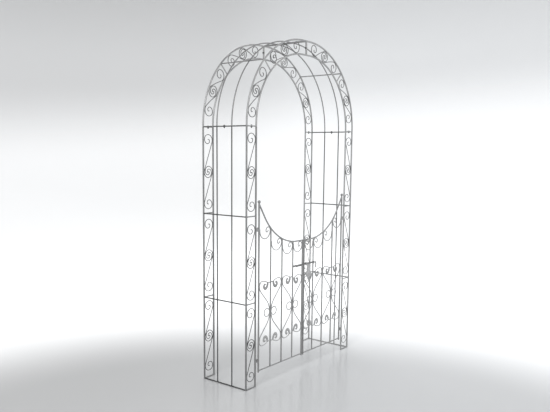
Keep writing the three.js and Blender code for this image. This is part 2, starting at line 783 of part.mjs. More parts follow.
// The bolt's back plate on the right leaf: a band behind the bolt, a shield below it and
// two guides round the bolt
function addBackPlate() {
  const top = boltHeight + plateBand / 2;
  const bandBottom = boltHeight - plateBand / 2;
  const bandEnd = barPitch + barRadius;
  const shieldCentre = shieldCentreShare * barPitch;
  const shieldMiddle = boltHeight - shieldMiddleShare * barPitch;
  const halfNeck = (shieldNeckShare * barPitch) / 2;
  const halfWide = (shieldWidthShare * barPitch) / 2;
  const halfHigh = (shieldHeightShare * barPitch) / 2;
  const neckAngle = Math.acos(halfNeck / halfWide);
  const outline = [
    new THREE.Vector2(meetingStile - stileRadius, bandBottom),
    new THREE.Vector2(meetingStile - stileRadius, top),
    new THREE.Vector2(bandEnd, top),
    new THREE.Vector2(bandEnd, bandBottom),
    new THREE.Vector2(shieldCentre + halfNeck, bandBottom),
  ];
  for (let i = 0; i <= shieldSteps; i++) {
    const angle = (i / shieldSteps) * (Math.PI + 2 * neckAngle) - neckAngle;
    const x = shieldCentre + halfWide * Math.cos(angle);
    outline.push(new THREE.Vector2(x, shieldMiddle - halfHigh * Math.sin(angle)));
  }
  outline.push(new THREE.Vector2(shieldCentre - halfNeck, bandBottom));
  const pieces = [plate(outline, platePlane - plateThickness / 2, plateThickness)];
  const guideBack = platePlane - plateThickness;
  for (const x of [guideInset, bandEnd - guideInset]) {
    pieces.push(
      block(
        at(x, (guideBack + guideReach) / 2, boltHeight),
        at(guideWidth, guideBack - guideReach, boltDiameter + 2 * guideWall),
      ),
    );
  }
  const bore = rod(
    at(0, boltPlane, boltHeight),
    at(bandEnd, boltPlane, boltHeight),
    boltRadius + boltClearance / 2,
  );
  arch.add(meshOf("bolt_back_plate", joined(pieces).subtract(bore), zinc));
}

// The cradle on the left leaf: a band behind the bolt with a lip above and a lip below it,
// open to the front
function addCradle() {
  const bandEnd = barPitch + barRadius;
  const start = meetingStile - stileRadius;
  const middle = (start + bandEnd) / 2;
  const pieces = [
    block(
      at(-middle, platePlane - plateThickness / 2, boltHeight),
      at(bandEnd - start, plateThickness, plateBand),
    ),
  ];
  const lipOffset = boltRadius + boltClearance + guideWall / 2;
  for (const offset of [-lipOffset, lipOffset]) {
    pieces.push(
      block(
        at(-middle, (platePlane + boltPlane - boltRadius) / 2, boltHeight + offset),
        at(cradleShare * barPitch, platePlane - boltPlane + boltRadius, guideWall),
      ),
    );
  }
  arch.add(meshOf("bolt_cradle", joined(pieces), zinc));
}

// The slide bolt, bent down into a handle at its right end
function addSlideBolt() {
  const corner = at(boltReach, boltPlane, boltHeight);
  const bolt = bentRod(
    [
      at(-boltTipReach, boltPlane, boltHeight),
      at(boltReach - boltRadius, boltPlane, boltHeight),
      at(corner.x, corner.y, boltHeight - boltRadius),
      at(corner.x, corner.y, boltHeight - boltHandleDrop),
    ],
    boltRadius,
    rodSides,
  );
  arch.add(meshOf("slide_bolt", bolt, zinc));
}

for (const [sideName, side] of sides) {
  for (const [faceName, planeY] of faces) {
    addLegLadder(sideName, side, faceName, planeY);
    addLegScrolls(sideName, side, faceName, planeY);
    addArchLadder(sideName, side, faceName, planeY);
    addArchScrolls(sideName, side, faceName, planeY);
    const place = at(side * ladderMiddle, planeY, jointHeight);
    addJointBolt(`${sideName}_${faceName}_joint_bolt`, place, at(0, 0, 1));
  }
  addSideLattice(sideName, side);
  addRoofLattice(sideName, side);
  addJointBolt(`${sideName}_side_joint_bolt`, at(side * halfWidth, 0, jointHeight), at(0, 0, 1));
  addLeafFrame(sideName, side);
  addTopRail(sideName, side);
  addGateScrolls(sideName, side);
  addFinial(sideName, side);
}
for (const [faceName, planeY] of faces) {
  const place = at(0, planeY, crownHeight - ladderWidth / 2);
  addJointBolt(`crown_${faceName}_bolt`, place, at(1, 0, 0));
}
addJointBolt("crown_roof_bolt", at(0, 0, crownHeight), at(1, 0, 0));
addBackPlate();
addCradle();
addSlideBolt();

// The guides stand further out in front than the rear posts do behind, so the whole object is
// moved back by half the difference to keep y = 0 in the middle of its depth.
arch.position.y = (-guideReach - (halfDepth + postRadius)) / 2;

const part = new THREE.Group();
part.add(arch);
export default part;
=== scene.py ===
import json
import math

import bmesh
import bpy
from mathutils import Matrix, Vector


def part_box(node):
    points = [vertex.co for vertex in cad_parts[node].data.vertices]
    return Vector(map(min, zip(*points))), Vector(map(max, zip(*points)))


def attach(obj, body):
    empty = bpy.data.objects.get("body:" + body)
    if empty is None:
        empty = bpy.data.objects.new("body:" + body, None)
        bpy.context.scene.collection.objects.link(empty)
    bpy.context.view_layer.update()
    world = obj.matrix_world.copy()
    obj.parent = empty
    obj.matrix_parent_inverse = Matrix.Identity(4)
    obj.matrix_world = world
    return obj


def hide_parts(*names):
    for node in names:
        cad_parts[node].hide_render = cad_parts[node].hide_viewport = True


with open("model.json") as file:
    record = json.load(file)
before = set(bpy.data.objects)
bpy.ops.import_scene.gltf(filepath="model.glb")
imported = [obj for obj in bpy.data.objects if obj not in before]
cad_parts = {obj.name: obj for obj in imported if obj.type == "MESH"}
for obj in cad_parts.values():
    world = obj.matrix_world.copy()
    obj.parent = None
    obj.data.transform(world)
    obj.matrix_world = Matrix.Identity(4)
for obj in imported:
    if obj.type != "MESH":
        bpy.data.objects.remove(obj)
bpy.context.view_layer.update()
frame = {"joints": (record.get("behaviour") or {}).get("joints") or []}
xAxis, yAxis, zAxis = Vector((1, 0, 0)), Vector((0, 1, 0)), Vector((0, 0, 1))
rightHand, leftHand = ("right", 1), ("left", -1)


def middleOf(node):
    low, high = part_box(node)
    return (low + high) / 2


# distances between rod middles, and the radii of the rods
arch = {
    "halfWidth": 0.625,
    "ladder": 0.093,
    "frontY": middleOf("left_front_leg_scroll_1").y,
    "rearY": middleOf("left_rear_leg_scroll_1").y,
    "midRodY": 0.064,
    "baseZ": 0.004,
    "bay": 0.5695,
    "bays": 3,
    "stub": 0.007,
    "crownRun": 0.04,
    "rungTurn": 45,
    "postRadius": 0.006,
    "railRadius": 0.004,
    "midRodRadius": 0.004,
}
arch["innerX"] = arch["halfWidth"] - arch["ladder"]
arch["middleY"] = (arch["frontY"] + arch["rearY"]) / 2
arch["jointZ"] = arch["baseZ"] + arch["bay"] * arch["bays"]
arch["springZ"] = arch["jointZ"] + arch["stub"]
arch["radius"] = arch["halfWidth"] - arch["crownRun"]
faces = (("front", arch["frontY"]), ("rear", arch["rearY"]))

# shader maths


class Value:
    # an output socket that can be used in a sum

    def __init__(self, finish, socket):
        self.finish = finish
        self.socket = socket

    def sum(self, operation, first, second):
        values = {0: first, 1: second}
        return self.finish.node("ShaderNodeMath", {"operation": operation}, values)

    def __add__(self, other):
        return self.sum("ADD", self, other)

    def __radd__(self, other):
        return self.sum("ADD", other, self)

    def __sub__(self, other):
        return self.sum("SUBTRACT", self, other)

    def __rsub__(self, other):
        return self.sum("SUBTRACT", other, self)

    def __mul__(self, other):
        return self.sum("MULTIPLY", self, other)

    def __rmul__(self, other):
        return self.sum("MULTIPLY", other, self)


class Finish:
    # a material and its node tree

    def __init__(self, name):
        self.material = bpy.data.materials.new(name)
        self.material.use_nodes = True
        self.tree = self.material.node_tree
        self.shader = self.tree.nodes["Principled BSDF"]
        self.place = self.node("ShaderNodeTexCoord", {}, {}, "Object")

    def node(self, kind, settings, values, output=0):
        made = self.tree.nodes.new(kind)
        for key, setting in settings.items():
            setattr(made, key, setting)
        self.fill(made, values)
        return Value(self, made.outputs[output])

    def fill(self, made, values):
        for key, value in values.items():
            socket = made.inputs[key]
            if isinstance(value, Value):
                self.tree.links.new(value.socket, socket)
            else:
                socket.default_value = value

    def height(self):
        return self.node("ShaderNodeSeparateXYZ", {}, {0: self.place}, "Z")

    def noise(self, scale, detail, roughness, stretch=(1, 1, 1)):
        spread = self.node("ShaderNodeMapping", {}, {"Vector": self.place, "Scale": stretch})
        values = {"Vector": spread, "Scale": scale, "Detail": detail, "Roughness": roughness}
        return self.node("ShaderNodeTexNoise", {}, values)

    def between(self, value, low, high):
        values = {"Value": value, "From Min": low, "From Max": high}
        return self.node("ShaderNodeMapRange", {"interpolation_type": "SMOOTHSTEP"}, values)

    def mixed(self, share, first, second):
        values = {0: share, 6: first, 7: second}
        return self.node("ShaderNodeMix", {"data_type": "RGBA"}, values, 2)

    def bump(self, height, distance, strength, normal=None):
        values = {"Height": height, "Distance": distance, "Strength": strength}
        if normal:
            values["Normal"] = normal
        return self.node("ShaderNodeBump", {}, values)

    def surface(self, values):
        self.fill(self.shader, values)
        return self.material


def grey(tone, warmth=0.0):
    return (tone * (1 + warmth), tone, tone * (1 - warmth), 1)


# a share of a finish's tone, a little warm or cool
def toned(tone, share, warmth):
    return grey(tone * share, warmth)


# scale, detail and roughness of each pattern, the range from where it starts to where it is full,
# the share of the tone and warmth of each shade, and what the patterns add to gloss and relief
silver = {
    "cloud": (9, 4, 0.55),
    "mottle": (130, 3, 0.6),
    "peel": (900, 2, 0.5),
    "specks": (420, 1, 0.4),
    "dust": (30, 5, 0.7),
    "cloudShare": 0.6,
    "mottleShare": 0.4,
    "shadeRange": (0.32, 0.68),
    "dustRange": (0.52, 0.72),
    "speckRange": (0.66, 0.74),
    "dark": (0.8, -0.012),
    "light": (1.14, 0.006),
    "dusty": (1.35, 0.02),
    "specked": (0.55, -0.01),
    "dustCover": 0.35,
    "speckCover": 0.5,
    "bandEase": 0.03,
    "peelDepth": 0.0003,
    "peelStrength": 0.35,
    "mottleDepth": 0.0006,
    "mottleStrength": 0.3,
    "metallic": 0.35,
    "dustMetallic": -0.2,
    "roughness": 0.34,
    "mottleRoughness": 0.16,
    "dustRoughness": 0.14,
    "varnish": 0.18,
    "dustVarnish": -0.1,
}


# silver-grey coat: tone and gloss drift along the metal, with a fine orange-peel skin, thin dusty
# patches and specks where the coat pooled; a band of height can be painted paler as painted light
def silverCoat(name, tone, litBands=()):
    coat = Finish(name)
    cloud = coat.noise(*silver["cloud"])
    mottle = coat.noise(*silver["mottle"])
    peel = coat.noise(*silver["peel"])
    specks = coat.between(coat.noise(*silver["specks"]), *silver["speckRange"])
    dust = coat.between(coat.noise(*silver["dust"]), *silver["dustRange"])
    drift = cloud * silver["cloudShare"] + mottle * silver["mottleShare"]
    shade = coat.between(drift, *silver["shadeRange"])
    base = coat.mixed(shade, toned(tone, *silver["dark"]), toned(tone, *silver["light"]))
    dusty = coat.mixed(dust * silver["dustCover"], base, toned(tone, *silver["dusty"]))
    colour = coat.mixed(specks * silver["speckCover"], dusty, toned(tone, *silver["specked"]))
    ease = silver["bandEase"]
    # painted light: each band of height is painted paler
    for low, high, litShare in litBands:
        height = coat.height()
        rising = coat.between(height, low - ease, low + ease)
        falling = coat.between(height, high - ease, high + ease)
        colour = coat.mixed(rising * (1 - falling), colour, grey(tone * litShare))
    skin = coat.bump(peel, silver["peelDepth"], silver["peelStrength"])
    lumps = coat.bump(mottle, silver["mottleDepth"], silver["mottleStrength"], skin)
    rough = silver["roughness"] + mottle * silver["mottleRoughness"]
    return coat.surface(
        {
            "Base Color": colour,
            "Metallic": silver["metallic"] + dust * silver["dustMetallic"],
            "Roughness": rough + dust * silver["dustRoughness"],
            "Coat Weight": silver["varnish"] + dust * silver["dustVarnish"],
            "Normal": lumps,
        }
    )


plating = {
    "crystalScale": 260,
    "cloud": (35, 4, 0.6),
    "rub": (160, 3, 0.6, (1, 1, 12)),
    "crystalShare": 0.5,
    "cloudShare": 0.6,
    "shadeRange": (0.25, 0.75),
    "light": (1.15, -0.01),
    "dark": (0.72, 0.01),
    "rubDepth": 0.0002,
    "rubStrength": 0.35,
    "metallic": 0.75,
    "roughness": 0.3,
    "cloudRoughness": 0.2,
}


# zinc plating: bright patches with darker crystal edges and fine rubbing marks
def zincPlate(name, tone):
    zinc = Finish(name)
    values = {"Vector": zinc.place, "Scale": plating["crystalScale"]}
    crystal = zinc.node("ShaderNodeTexVoronoi", {"feature": "F1"}, values, "Distance")
    cloud = zinc.noise(*plating["cloud"])
    rub = zinc.noise(*plating["rub"])
    drift = crystal * plating["crystalShare"] + cloud * plating["cloudShare"]
    shade = zinc.between(drift, *plating["shadeRange"])
    light, dark = toned(tone, *plating["light"]), toned(tone, *plating["dark"])
    return zinc.surface(
        {
            "Base Color": zinc.mixed(shade, light, dark),
            "Metallic": plating["metallic"],
            "Roughness": plating["roughness"] + cloud * plating["cloudRoughness"],
            "Normal": zinc.bump(rub, plating["rubDepth"], plating["rubStrength"]),
        }
    )


# the leg, lattice, scroll, arch, roof and gate tones are lit and shaded copies of one silver paint:
# painted shade where less light falls, painted light where more falls
tonesWithPaintedLight = {
    "leftLeg": 0.25,
    "rightLeg": 0.36,
    "leftLattice": 0.06,
    "rightLattice": 0.07,
    "leftScroll": 0.09,
    "rightScroll": 0.1,
    "arch": 0.35,
    "roof": 0.22,
    "gate": 0.3,
    "gateScroll": 0.3,
    "fitting": 0.46,
    "hinge": 0.44,
    "bolt": 0.24,
    "joint": 0.06,
}
# painted light bands, paler where more light falls (bounce light near the floor, lit scroll leaves
# and waist): from and to in metres above the ground, and the share of the tone
paintedLightBands = {
    "rightLattice": ((-1, 0.05, 5),),
    "rightScroll": ((-1, 0.3, 3),),
    "gateScroll": ((-1, 0.34, 1.35), (0.44, 0.53, 1.2)),
}


def coatOf(part):
    return silverCoat(part + "Coat", tonesWithPaintedLight[part], paintedLightBands.get(part, ()))


# left and right coats are lit and shaded copies of the same paint, toned as painted light and painted
# shade
legCoats = {"left": coatOf("leftLeg"), "right": coatOf("rightLeg")}
latticeCoats = {"left": coatOf("leftLattice"), "right": coatOf("rightLattice")}
scrollCoats = {"left": coatOf("leftScroll"), "right": coatOf("rightScroll")}
archCoat = coatOf("arch")
roofCoat = coatOf("roof")
gateCoat = coatOf("gate")
gateScrollCoat = coatOf("gateScroll")
fittingZinc = zincPlate("fittingZinc", tonesWithPaintedLight["fitting"])
# the hinge eyes get a paler finish than the frame as painted light against the shade between post and
# stile
hingeLitZinc = zincPlate("hingeLitZinc", tonesWithPaintedLight["hinge"])
boltSteel = zincPlate("boltSteel", tonesWithPaintedLight["bolt"])
jointSteel = zincPlate("jointSteel", tonesWithPaintedLight["joint"])
print("finishes made")

# making and placing pieces

making = {
    "endShare": 0.35,  # of a wire's radius, how far its end is eased
    "flareStations": (0, 0.4, 1, 2),  # in flares from the rod's end
    "flareSwell": 0.55,
    "depthwise": 0.9,  # a rod more along Y than this has its section turned
    "sharpTurn": 30,
    "smoothUnder": 35,
    "mergeWithin": 1e-6,
    "lump": 0.05,
    "lumpWaves": (9, 7),
    "lumpShift": 2.1,
}


class Piece:
    # a bmesh that becomes one object and takes the place of CAD nodes

    def __init__(self):
        self.bm = bmesh.new()

    # puts a flat ring where the path is, at right angles to it
    def sectionAt(self, point, heading, flatNormal, width, thickness):
        across = heading.cross(flatNormal).normalized()
        up = across.cross(heading).normalized()
        turn = Matrix((across, up, heading)).transposed().to_4x4()
        return Matrix.Translation(point) @ turn @ Matrix.Diagonal((width, thickness, 1, 1))

    # sets each end of a wire back a little, behind a narrower end face
    def easeEnds(self, stations):
        for end, way in ((0, 1), (-1, -1)):
            point, heading, width, thickness = stations[end]
            ease = min(width, thickness) * making["endShare"]
            stations[end] = (point + heading * way * ease, heading, width, thickness)
            face = (point, heading, width - ease, thickness - ease)
            stations.insert(0 if way > 0 else len(stations), face)

    # a round or flattened wire: its end face is extruded from point to point of the path
    def wire(self, path, radius, sides, flatNormal=yAxis, shape=None, roundEnds=True):
        path = [Vector(point) for point in path]
        lengths = runningLengths(path)
        stations = []
        for i, point in enumerate(path):
            before, after = path[max(i - 1, 0)], path[min(i + 1, len(path) - 1)]
            arriving = (point - before).normalized() if i else (after - point).normalized()
            leaving = (after - point).normalized() if i < len(path) - 1 else arriving
            heading = (arriving + leaving).normalized()
            width, thickness = shape(lengths[i] / lengths[-1]) if shape else (radius, radius)
            stations.append((point, heading, width, thickness))
        if roundEnds:
            self.easeEnds(stations)
        point, heading, width, thickness = stations[0]
        section = self.sectionAt(point, heading, flatNormal, width, thickness)
        ring = bmesh.ops.create_circle(self.bm, cap_ends=True, segments=sides, radius=1)["verts"]
        bmesh.ops.transform(self.bm, matrix=section, verts=ring)
        end = ring[0].link_faces[0]
        for point, heading, width, thickness in stations[1:]:
            grown = bmesh.ops.extrude_face_region(self.bm, geom=[end])["geom"]
            end = next(item for item in grown if isinstance(item, bmesh.types.BMFace))
            nextSection = self.sectionAt(point, heading, flatNormal, width, thickness)
            step = nextSection @ section.inverted()
            bmesh.ops.transform(self.bm, matrix=step, verts=end.verts)
            section = nextSection

    # a straight rod, whose ends can flare into their welds
    def rod(self, start, end, radius, sides, flare=0.0):
        start, end = Vector(start), Vector(end)
        along = (end - start).normalized()
        normal = yAxis if abs(along.y) < making["depthwise"] else xAxis
        if not flare:
            self.wire([start, end], radius, sides, normal)
            return
        reach = (end - start).length
        shares = [flare * station / reach for station in making["flareStations"]]
        shares += [1 - share for share in reversed(shares)]
        last = making["flareStations"][-1]

        def flared(share):
            near = min(share, 1 - share) * reach / flare
            grow = radius + flare * making["flareSwell"] * max(0, 1 - near / last) ** 2
            return grow, grow

        path = [start.lerp(end, share) for share in shares]
        self.wire(path, radius, sides, normal, flared, roundEnds=False)

    # a plate or block with eased edges
    def block(self, low, high, ease, segments=2):
        low, high = Vector(low), Vector(high)
        verts = bmesh.ops.create_cube(self.bm, size=1)["verts"]
        size = Matrix.Diagonal((*(high - low), 1))
        bmesh.ops.transform(self.bm, matrix=Matrix.Translation((low + high) / 2) @ size, verts=verts)
        self.easeEdges(verts, ease, segments)

    def easeEdges(self, verts, ease, segments=2):
        edges = {edge for vert in verts for edge in vert.link_edges}
        turn = math.radians(making["sharpTurn"])
        sharp = [edge for edge in edges if edge.calc_face_angle(0) > turn]
        bmesh.ops.bevel(
            self.bm,
            geom=sharp,
            offset=ease,
            offset_type="OFFSET",
            affect="EDGES",
            segments=segments,
            profile=0.5,
            material=-1,
        )

    # a flat outline in a face plane, given its thickness and eased edges
    def plate(self, outline, nearY, farY, ease):
        face = self.bm.faces.new([self.bm.verts.new((x, nearY, z)) for x, z in outline])
        grown = bmesh.ops.extrude_face_region(self.bm, geom=[face])["geom"]
        moved = [item for item in grown if isinstance(item, bmesh.types.BMVert)]
        bmesh.ops.translate(self.bm, vec=(0, farY - nearY, 0), verts=moved)
        self.easeEdges(moved + list(face.verts), ease)

    # verts and edges taken once round an axis
    def spun(self, geom, centre, axis, steps):
        full = {"angle": math.tau, "use_merge": True}
        bmesh.ops.spin(self.bm, geom=geom, cent=centre, axis=axis, steps=steps, **full)

    # a turned form: a profile of (distance from the axis, height), closed where it has a bore
    def turned(self, profile, centre, axis, steps):
        place = Matrix.Translation(centre) @ towards(axis)
        verts = [self.bm.verts.new(place @ Vector((reach, 0, height))) for reach, height in profile]
        edges = [self.bm.edges.new(pair) for pair in zip(verts, verts[1:])]
        if profile[0][0] > 0:
            edges.append(self.bm.edges.new((verts[-1], verts[0])))
        self.spun(verts + edges, centre, axis, steps)

    # a small lumpy bead of weld
    def bead(self, place, size, seed):
        verts = bmesh.ops.create_icosphere(self.bm, subdivisions=2, radius=1)["verts"]
        upward, sideways = making["lumpWaves"]
        shift = seed * making["lumpShift"]
        for vert in verts:
            wave = math.sin(vert.co.z * upward + shift) + math.sin(vert.co.x * sideways + seed)
            vert.co *= 1 + making["lump"] * wave
        matrix = Matrix.Translation(place) @ Matrix.Diagonal((*size, 1))
        bmesh.ops.transform(self.bm, matrix=matrix, verts=verts)

    # the finished object, riding on its body in place of its nodes
    def finish(self, name, body, slot, material, nodes):
        bmesh.ops.remove_doubles(self.bm, verts=self.bm.verts, dist=making["mergeWithin"])
        bmesh.ops.recalc_face_normals(self.bm, faces=self.bm.faces)
        mesh = bpy.data.meshes.new(name)
        self.bm.to_mesh(mesh)
        self.bm.free()
        mesh.shade_smooth()
        mesh.set_sharp_from_angle(angle=math.radians(making["smoothUnder"]))
        mesh.materials.append(material)
        piece = bpy.data.objects.new(name, mesh)
        bpy.context.scene.collection.objects.link(piece)
        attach(piece, body)
        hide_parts(*nodes)


def pieceName(*words):
    return words[0] + "".join(word[0].upper() + word[1:] for word in words[1:])


# how far along a path each of its points lies
def runningLengths(path):
    lengths = [0.0]
    for start, end in zip(path, path[1:]):
        lengths.append(lengths[-1] + (end - start).length)
    return lengths


# the turn that takes a form built upwards onto an axis
def towards(axis):
    return zAxis.rotation_difference(axis).to_matrix().to_4x4()


# a quarter bend: how far each point still is from the new line, and how far it has left the old
def quarterBend(radius, steps):
    angles = [math.pi / 2 * i / steps for i in range(steps + 1)]
    return [(radius * (1 - math.sin(angle)), radius * (1 - math.cos(angle))) for angle in angles]


# a place on the arch of a face, from a radius and an angle above the spring line
def archPlace(side, radius, angle, y):
    x = side * (arch["crownRun"] + radius * math.cos(angle))
    return Vector((x, y, arch["springZ"] + radius * math.sin(angle)))


# the two face frames and the lattices between them

ladder = {
    "sides": 24,
    "archSteps": 54,
    "flare": 0.0035,
    "seatShare": 0.8,  # of a post's radius, how deep a rung stands in it
    "stripHalfWidth": 0.00575,
    "stripThickness": 0.004,
    "stripEase": 0.0008,
    "jointGap": 0.00015,
    "latticeEnd": 0.0005,
    "crossBead": (0.0035, 0.0022, 0.0035),
    "crossBeadAway": 0.0042,
    "crossSeed": 50,
}
ladder["depthEnd"] = arch["rearY"] - arch["middleY"] - arch["postRadius"] + ladder["latticeEnd"]


def archPath(side, radius, y):
    path = [Vector((side * (arch["crownRun"] + radius), y, arch["jointZ"] + ladder["jointGap"]))]
    for i in range(ladder["archSteps"] + 1):
        path.append(archPlace(side, radius, math.pi / 2 * i / ladder["archSteps"], y))
    path.append(Vector((side * ladder["jointGap"], y, arch["springZ"] + radius)))
    return path


def addStrip(piece, low, high):
    piece.block(low, high, ladder["stripEase"])


hinge = {
    "axisX": abs(frame["joints"][0]["pos_m"][0]),
    "heights": (0.178, 1.056),
    "eyeRadius": 0.0073,
    "eyeBore": 0.0047,
    "eyeHeight": 0.016,
    "eyeDrop": 0.012,
    "eyeEase": 0.0008,
    "eyeSteps": 28,
    "webHalf": 0.0037,
    "webEase": 0.001,
    "webIntoEye": 0.0012,
    "webIntoPost": 0.003,
    "webBead": (0.0022, 0.0036, 0.0018),
    "pinRadius": 0.004,
    "pinSides": 20,
    "pinTail": 0.003,
    "pinGap": 0.0003,
    "pinBend": 0.006,
    "pinBendSteps": 6,
    "pinIntoStile": 0.003,
    "pinBead": (0.0028, 0.0024, 0.0045),
    "pinBeadAway": 0.003,
}


# the eye that a leaf hangs in, on a short web from the inner post of the front ladder
def addHingeEye(sideName, side, level, height):
    piece = Piece()
    x = side * hinge["axisX"]
    y = arch["frontY"]
    bottom = height - hinge["eyeDrop"]
    outer, bore = hinge["eyeRadius"], hinge["eyeBore"]
    ease, tall = hinge["eyeEase"], hinge["eyeHeight"]
    profile = [(bore, ease), (bore + ease, 0), (outer - ease, 0), (outer, ease)]
    profile += [(reach, tall - rise) for reach, rise in reversed(profile)]
    piece.turned(profile, Vector((x, y, bottom)), zAxis, hinge["eyeSteps"])
    eyeEnd = x + side * (outer - hinge["webIntoEye"])
    near, far = sorted((eyeEnd, side * (arch["innerX"] - hinge["webIntoPost"])))
    half, z = hinge["webHalf"], bottom + tall / 2
    piece.block((near, y - half, z - half), (far, y + half, z + half), hinge["webEase"])
    postFace = side * (arch["innerX"] - arch["postRadius"])
    for dz in (-1, 1):
        piece.bead(Vector((postFace, y, z + dz * half)), hinge["webBead"], dz + height)
    name = pieceName(sideName, level, "hingeEye")
    piece.finish(name, "arch", "frame", hingeLitZinc, [f"{sideName}_front_leg"])


def addLegLadder(sideName, side, faceName, y):
    top = arch["jointZ"] - ladder["jointGap"]
    piece = Piece()
    for x in (arch["halfWidth"], arch["innerX"]):
        piece.rod((side * x, y, 0), (side * x, y, top), arch["postRadius"], ladder["sides"])
    inset = arch["postRadius"] * ladder["seatShare"]
    for bay in range(arch["bays"]):
        z = arch["baseZ"] + bay * arch["bay"]
        start = (side * (arch["halfWidth"] - inset), y, z)
        end = (side * (arch["innerX"] + inset), y, z)
        flare = ladder["flare"] if bay else 0
        piece.rod(start, end, arch["railRadius"], ladder["sides"], flare)
    near, far = sorted((side * arch["halfWidth"], side * arch["innerX"]))
    half = ladder["stripHalfWidth"]
    addStrip(piece, (near, y - half, top - ladder["stripThickness"]), (far, y + half, top))
    if faceName == "front":
        for level, height in zip(("lower", "upper"), hinge["heights"]):
            addHingeEye(sideName, side, level, height)
    name = pieceName(sideName, faceName, "legLadder")
    piece.finish(name, "arch", "frame", legCoats[sideName], [f"{sideName}_{faceName}_leg"])


def addSideLattice(sideName, side):
    x = side * arch["halfWidth"]
    middle, end = arch["middleY"], ladder["depthEnd"]
    top = arch["jointZ"] - ladder["jointGap"]
    uprights = (middle - arch["midRodY"], middle + arch["midRodY"])
    piece = Piece()
    for y in uprights:
        piece.rod((x, y, 0), (x, y, top), arch["midRodRadius"], ladder["sides"])
    for bay in range(arch["bays"]):
        z = arch["baseZ"] + bay * arch["bay"]
        flare = ladder["flare"] if bay else 0
        start, finish = (x, middle - end, z), (x, middle + end, z)
        piece.rod(start, finish, arch["railRadius"], ladder["sides"], flare)
        if bay:
            for y in uprights:
                for dy in (-1, 1):
                    place = (x, y + dy * ladder["crossBeadAway"], z)
                    piece.bead(place, ladder["crossBead"], y * ladder["crossSeed"] + dy)
    half = ladder["stripHalfWidth"]
    low = (x - half, middle - end, top - ladder["stripThickness"])
    addStrip(piece, low, (x + half, middle + end, top))
    name = pieceName(sideName, "sideLattice")
    piece.finish(name, "arch", "frame", latticeCoats[sideName], [f"{sideName}_side_lattice"])


def addArchLadder(sideName, side, faceName, y):
    piece = Piece()
    inner = arch["radius"] - arch["ladder"]
    for radius in (arch["radius"], inner):
        piece.wire(archPath(side, radius, y), arch["postRadius"], ladder["sides"], roundEnds=False)
    turn = math.radians(arch["rungTurn"])
    inset = arch["postRadius"] * ladder["seatShare"]
    piece.rod(
        archPlace(side, inner + inset, turn, y),
        archPlace(side, arch["radius"] - inset, turn, y),
        arch["railRadius"],
        ladder["sides"],
        ladder["flare"],
    )
    bottom = arch["jointZ"] + ladder["jointGap"]
    half, thick, gap = ladder["stripHalfWidth"], ladder["stripThickness"], ladder["jointGap"]
    near, far = sorted((side * arch["halfWidth"], side * arch["innerX"]))
    addStrip(piece, (near, y - half, bottom), (far, y + half, bottom + thick))
    near, far = sorted((side * gap, side * (gap + thick)))
    low = (near, y - half, arch["springZ"] + inner)
    addStrip(piece, low, (far, y + half, arch["springZ"] + arch["radius"]))
    name = pieceName(sideName, faceName, "archLadder")
    piece.finish(name, "arch", "frame", archCoat, [f"{sideName}_{faceName}_arch"])


def addRoofLattice(sideName, side):
    piece = Piece()
    middle, end = arch["middleY"], ladder["depthEnd"]
    for y in (middle - arch["midRodY"], middle + arch["midRodY"]):
        path = archPath(side, arch["radius"], y)
        piece.wire(path, arch["midRodRadius"], ladder["sides"], roundEnds=False)
    turn = math.radians(arch["rungTurn"])
    start = archPlace(side, arch["radius"], turn, middle - end)
    finish = archPlace(side, arch["radius"], turn, middle + end)
    piece.rod(start, finish, arch["railRadius"], ladder["sides"], ladder["flare"])
    x = side * arch["halfWidth"]
    bottom = arch["jointZ"] + ladder["jointGap"]
    half, thick, gap = ladder["stripHalfWidth"], ladder["stripThickness"], ladder["jointGap"]
    addStrip(piece, (x - half, middle - end, bottom), (x + half, middle + end, bottom + thick))
    near, far = sorted((side * gap, side * (gap + thick)))
    crown = arch["springZ"] + arch["radius"]
    addStrip(piece, (near, middle - end, crown - half), (far, middle + end, crown + half))
    name = pieceName(sideName, "roofLattice")
    piece.finish(name, "arch", "frame", roofCoat, [f"{sideName}_roof_lattice"])


for sideName, side in (leftHand, rightHand):
    for faceName, y in faces:
        addLegLadder(sideName, side, faceName, y)
        addArchLadder(sideName, side, faceName, y)
    addSideLattice(sideName, side)
    addRoofLattice(sideName, side)
print("ladders and lattices made")

# scrolls of the face frames

# angles are in degrees; the reach of a curl falls to its end share by a power of how far it has wound
scroll = {
    "wire": 0.0024,
    "sides": 12,
    "step": 9,
    "seat": 0.0001,  # how deep a curl sits in the rods
    "legShare": 0.365,
    "archSpread": 13.8,
    "curlStart": 140,
    "curlEnd": 490,
    "endShare": 0.13,
    "power": 1.6,
    "stemSteps": 4,
    "heartStart": 270,
    "heartEnd": 610,
    "bead": (0.0022, 0.0024, 0.0038),
    "archBead": (0.003, 0.0024, 0.003),
}
# how far up the arch the lower and the upper pair of each ladder sit
archTurns = {
    "left_front": (23.0, 67.8),
    "left_rear": (24.8, 69.5),
    "right_front": (24.2, 69.8),
    "right_rear": (24.2, 67.7),
}
scroll["radius"] = arch["ladder"] / 2 - arch["postRadius"] - scroll["wire"] + scroll["seat"]


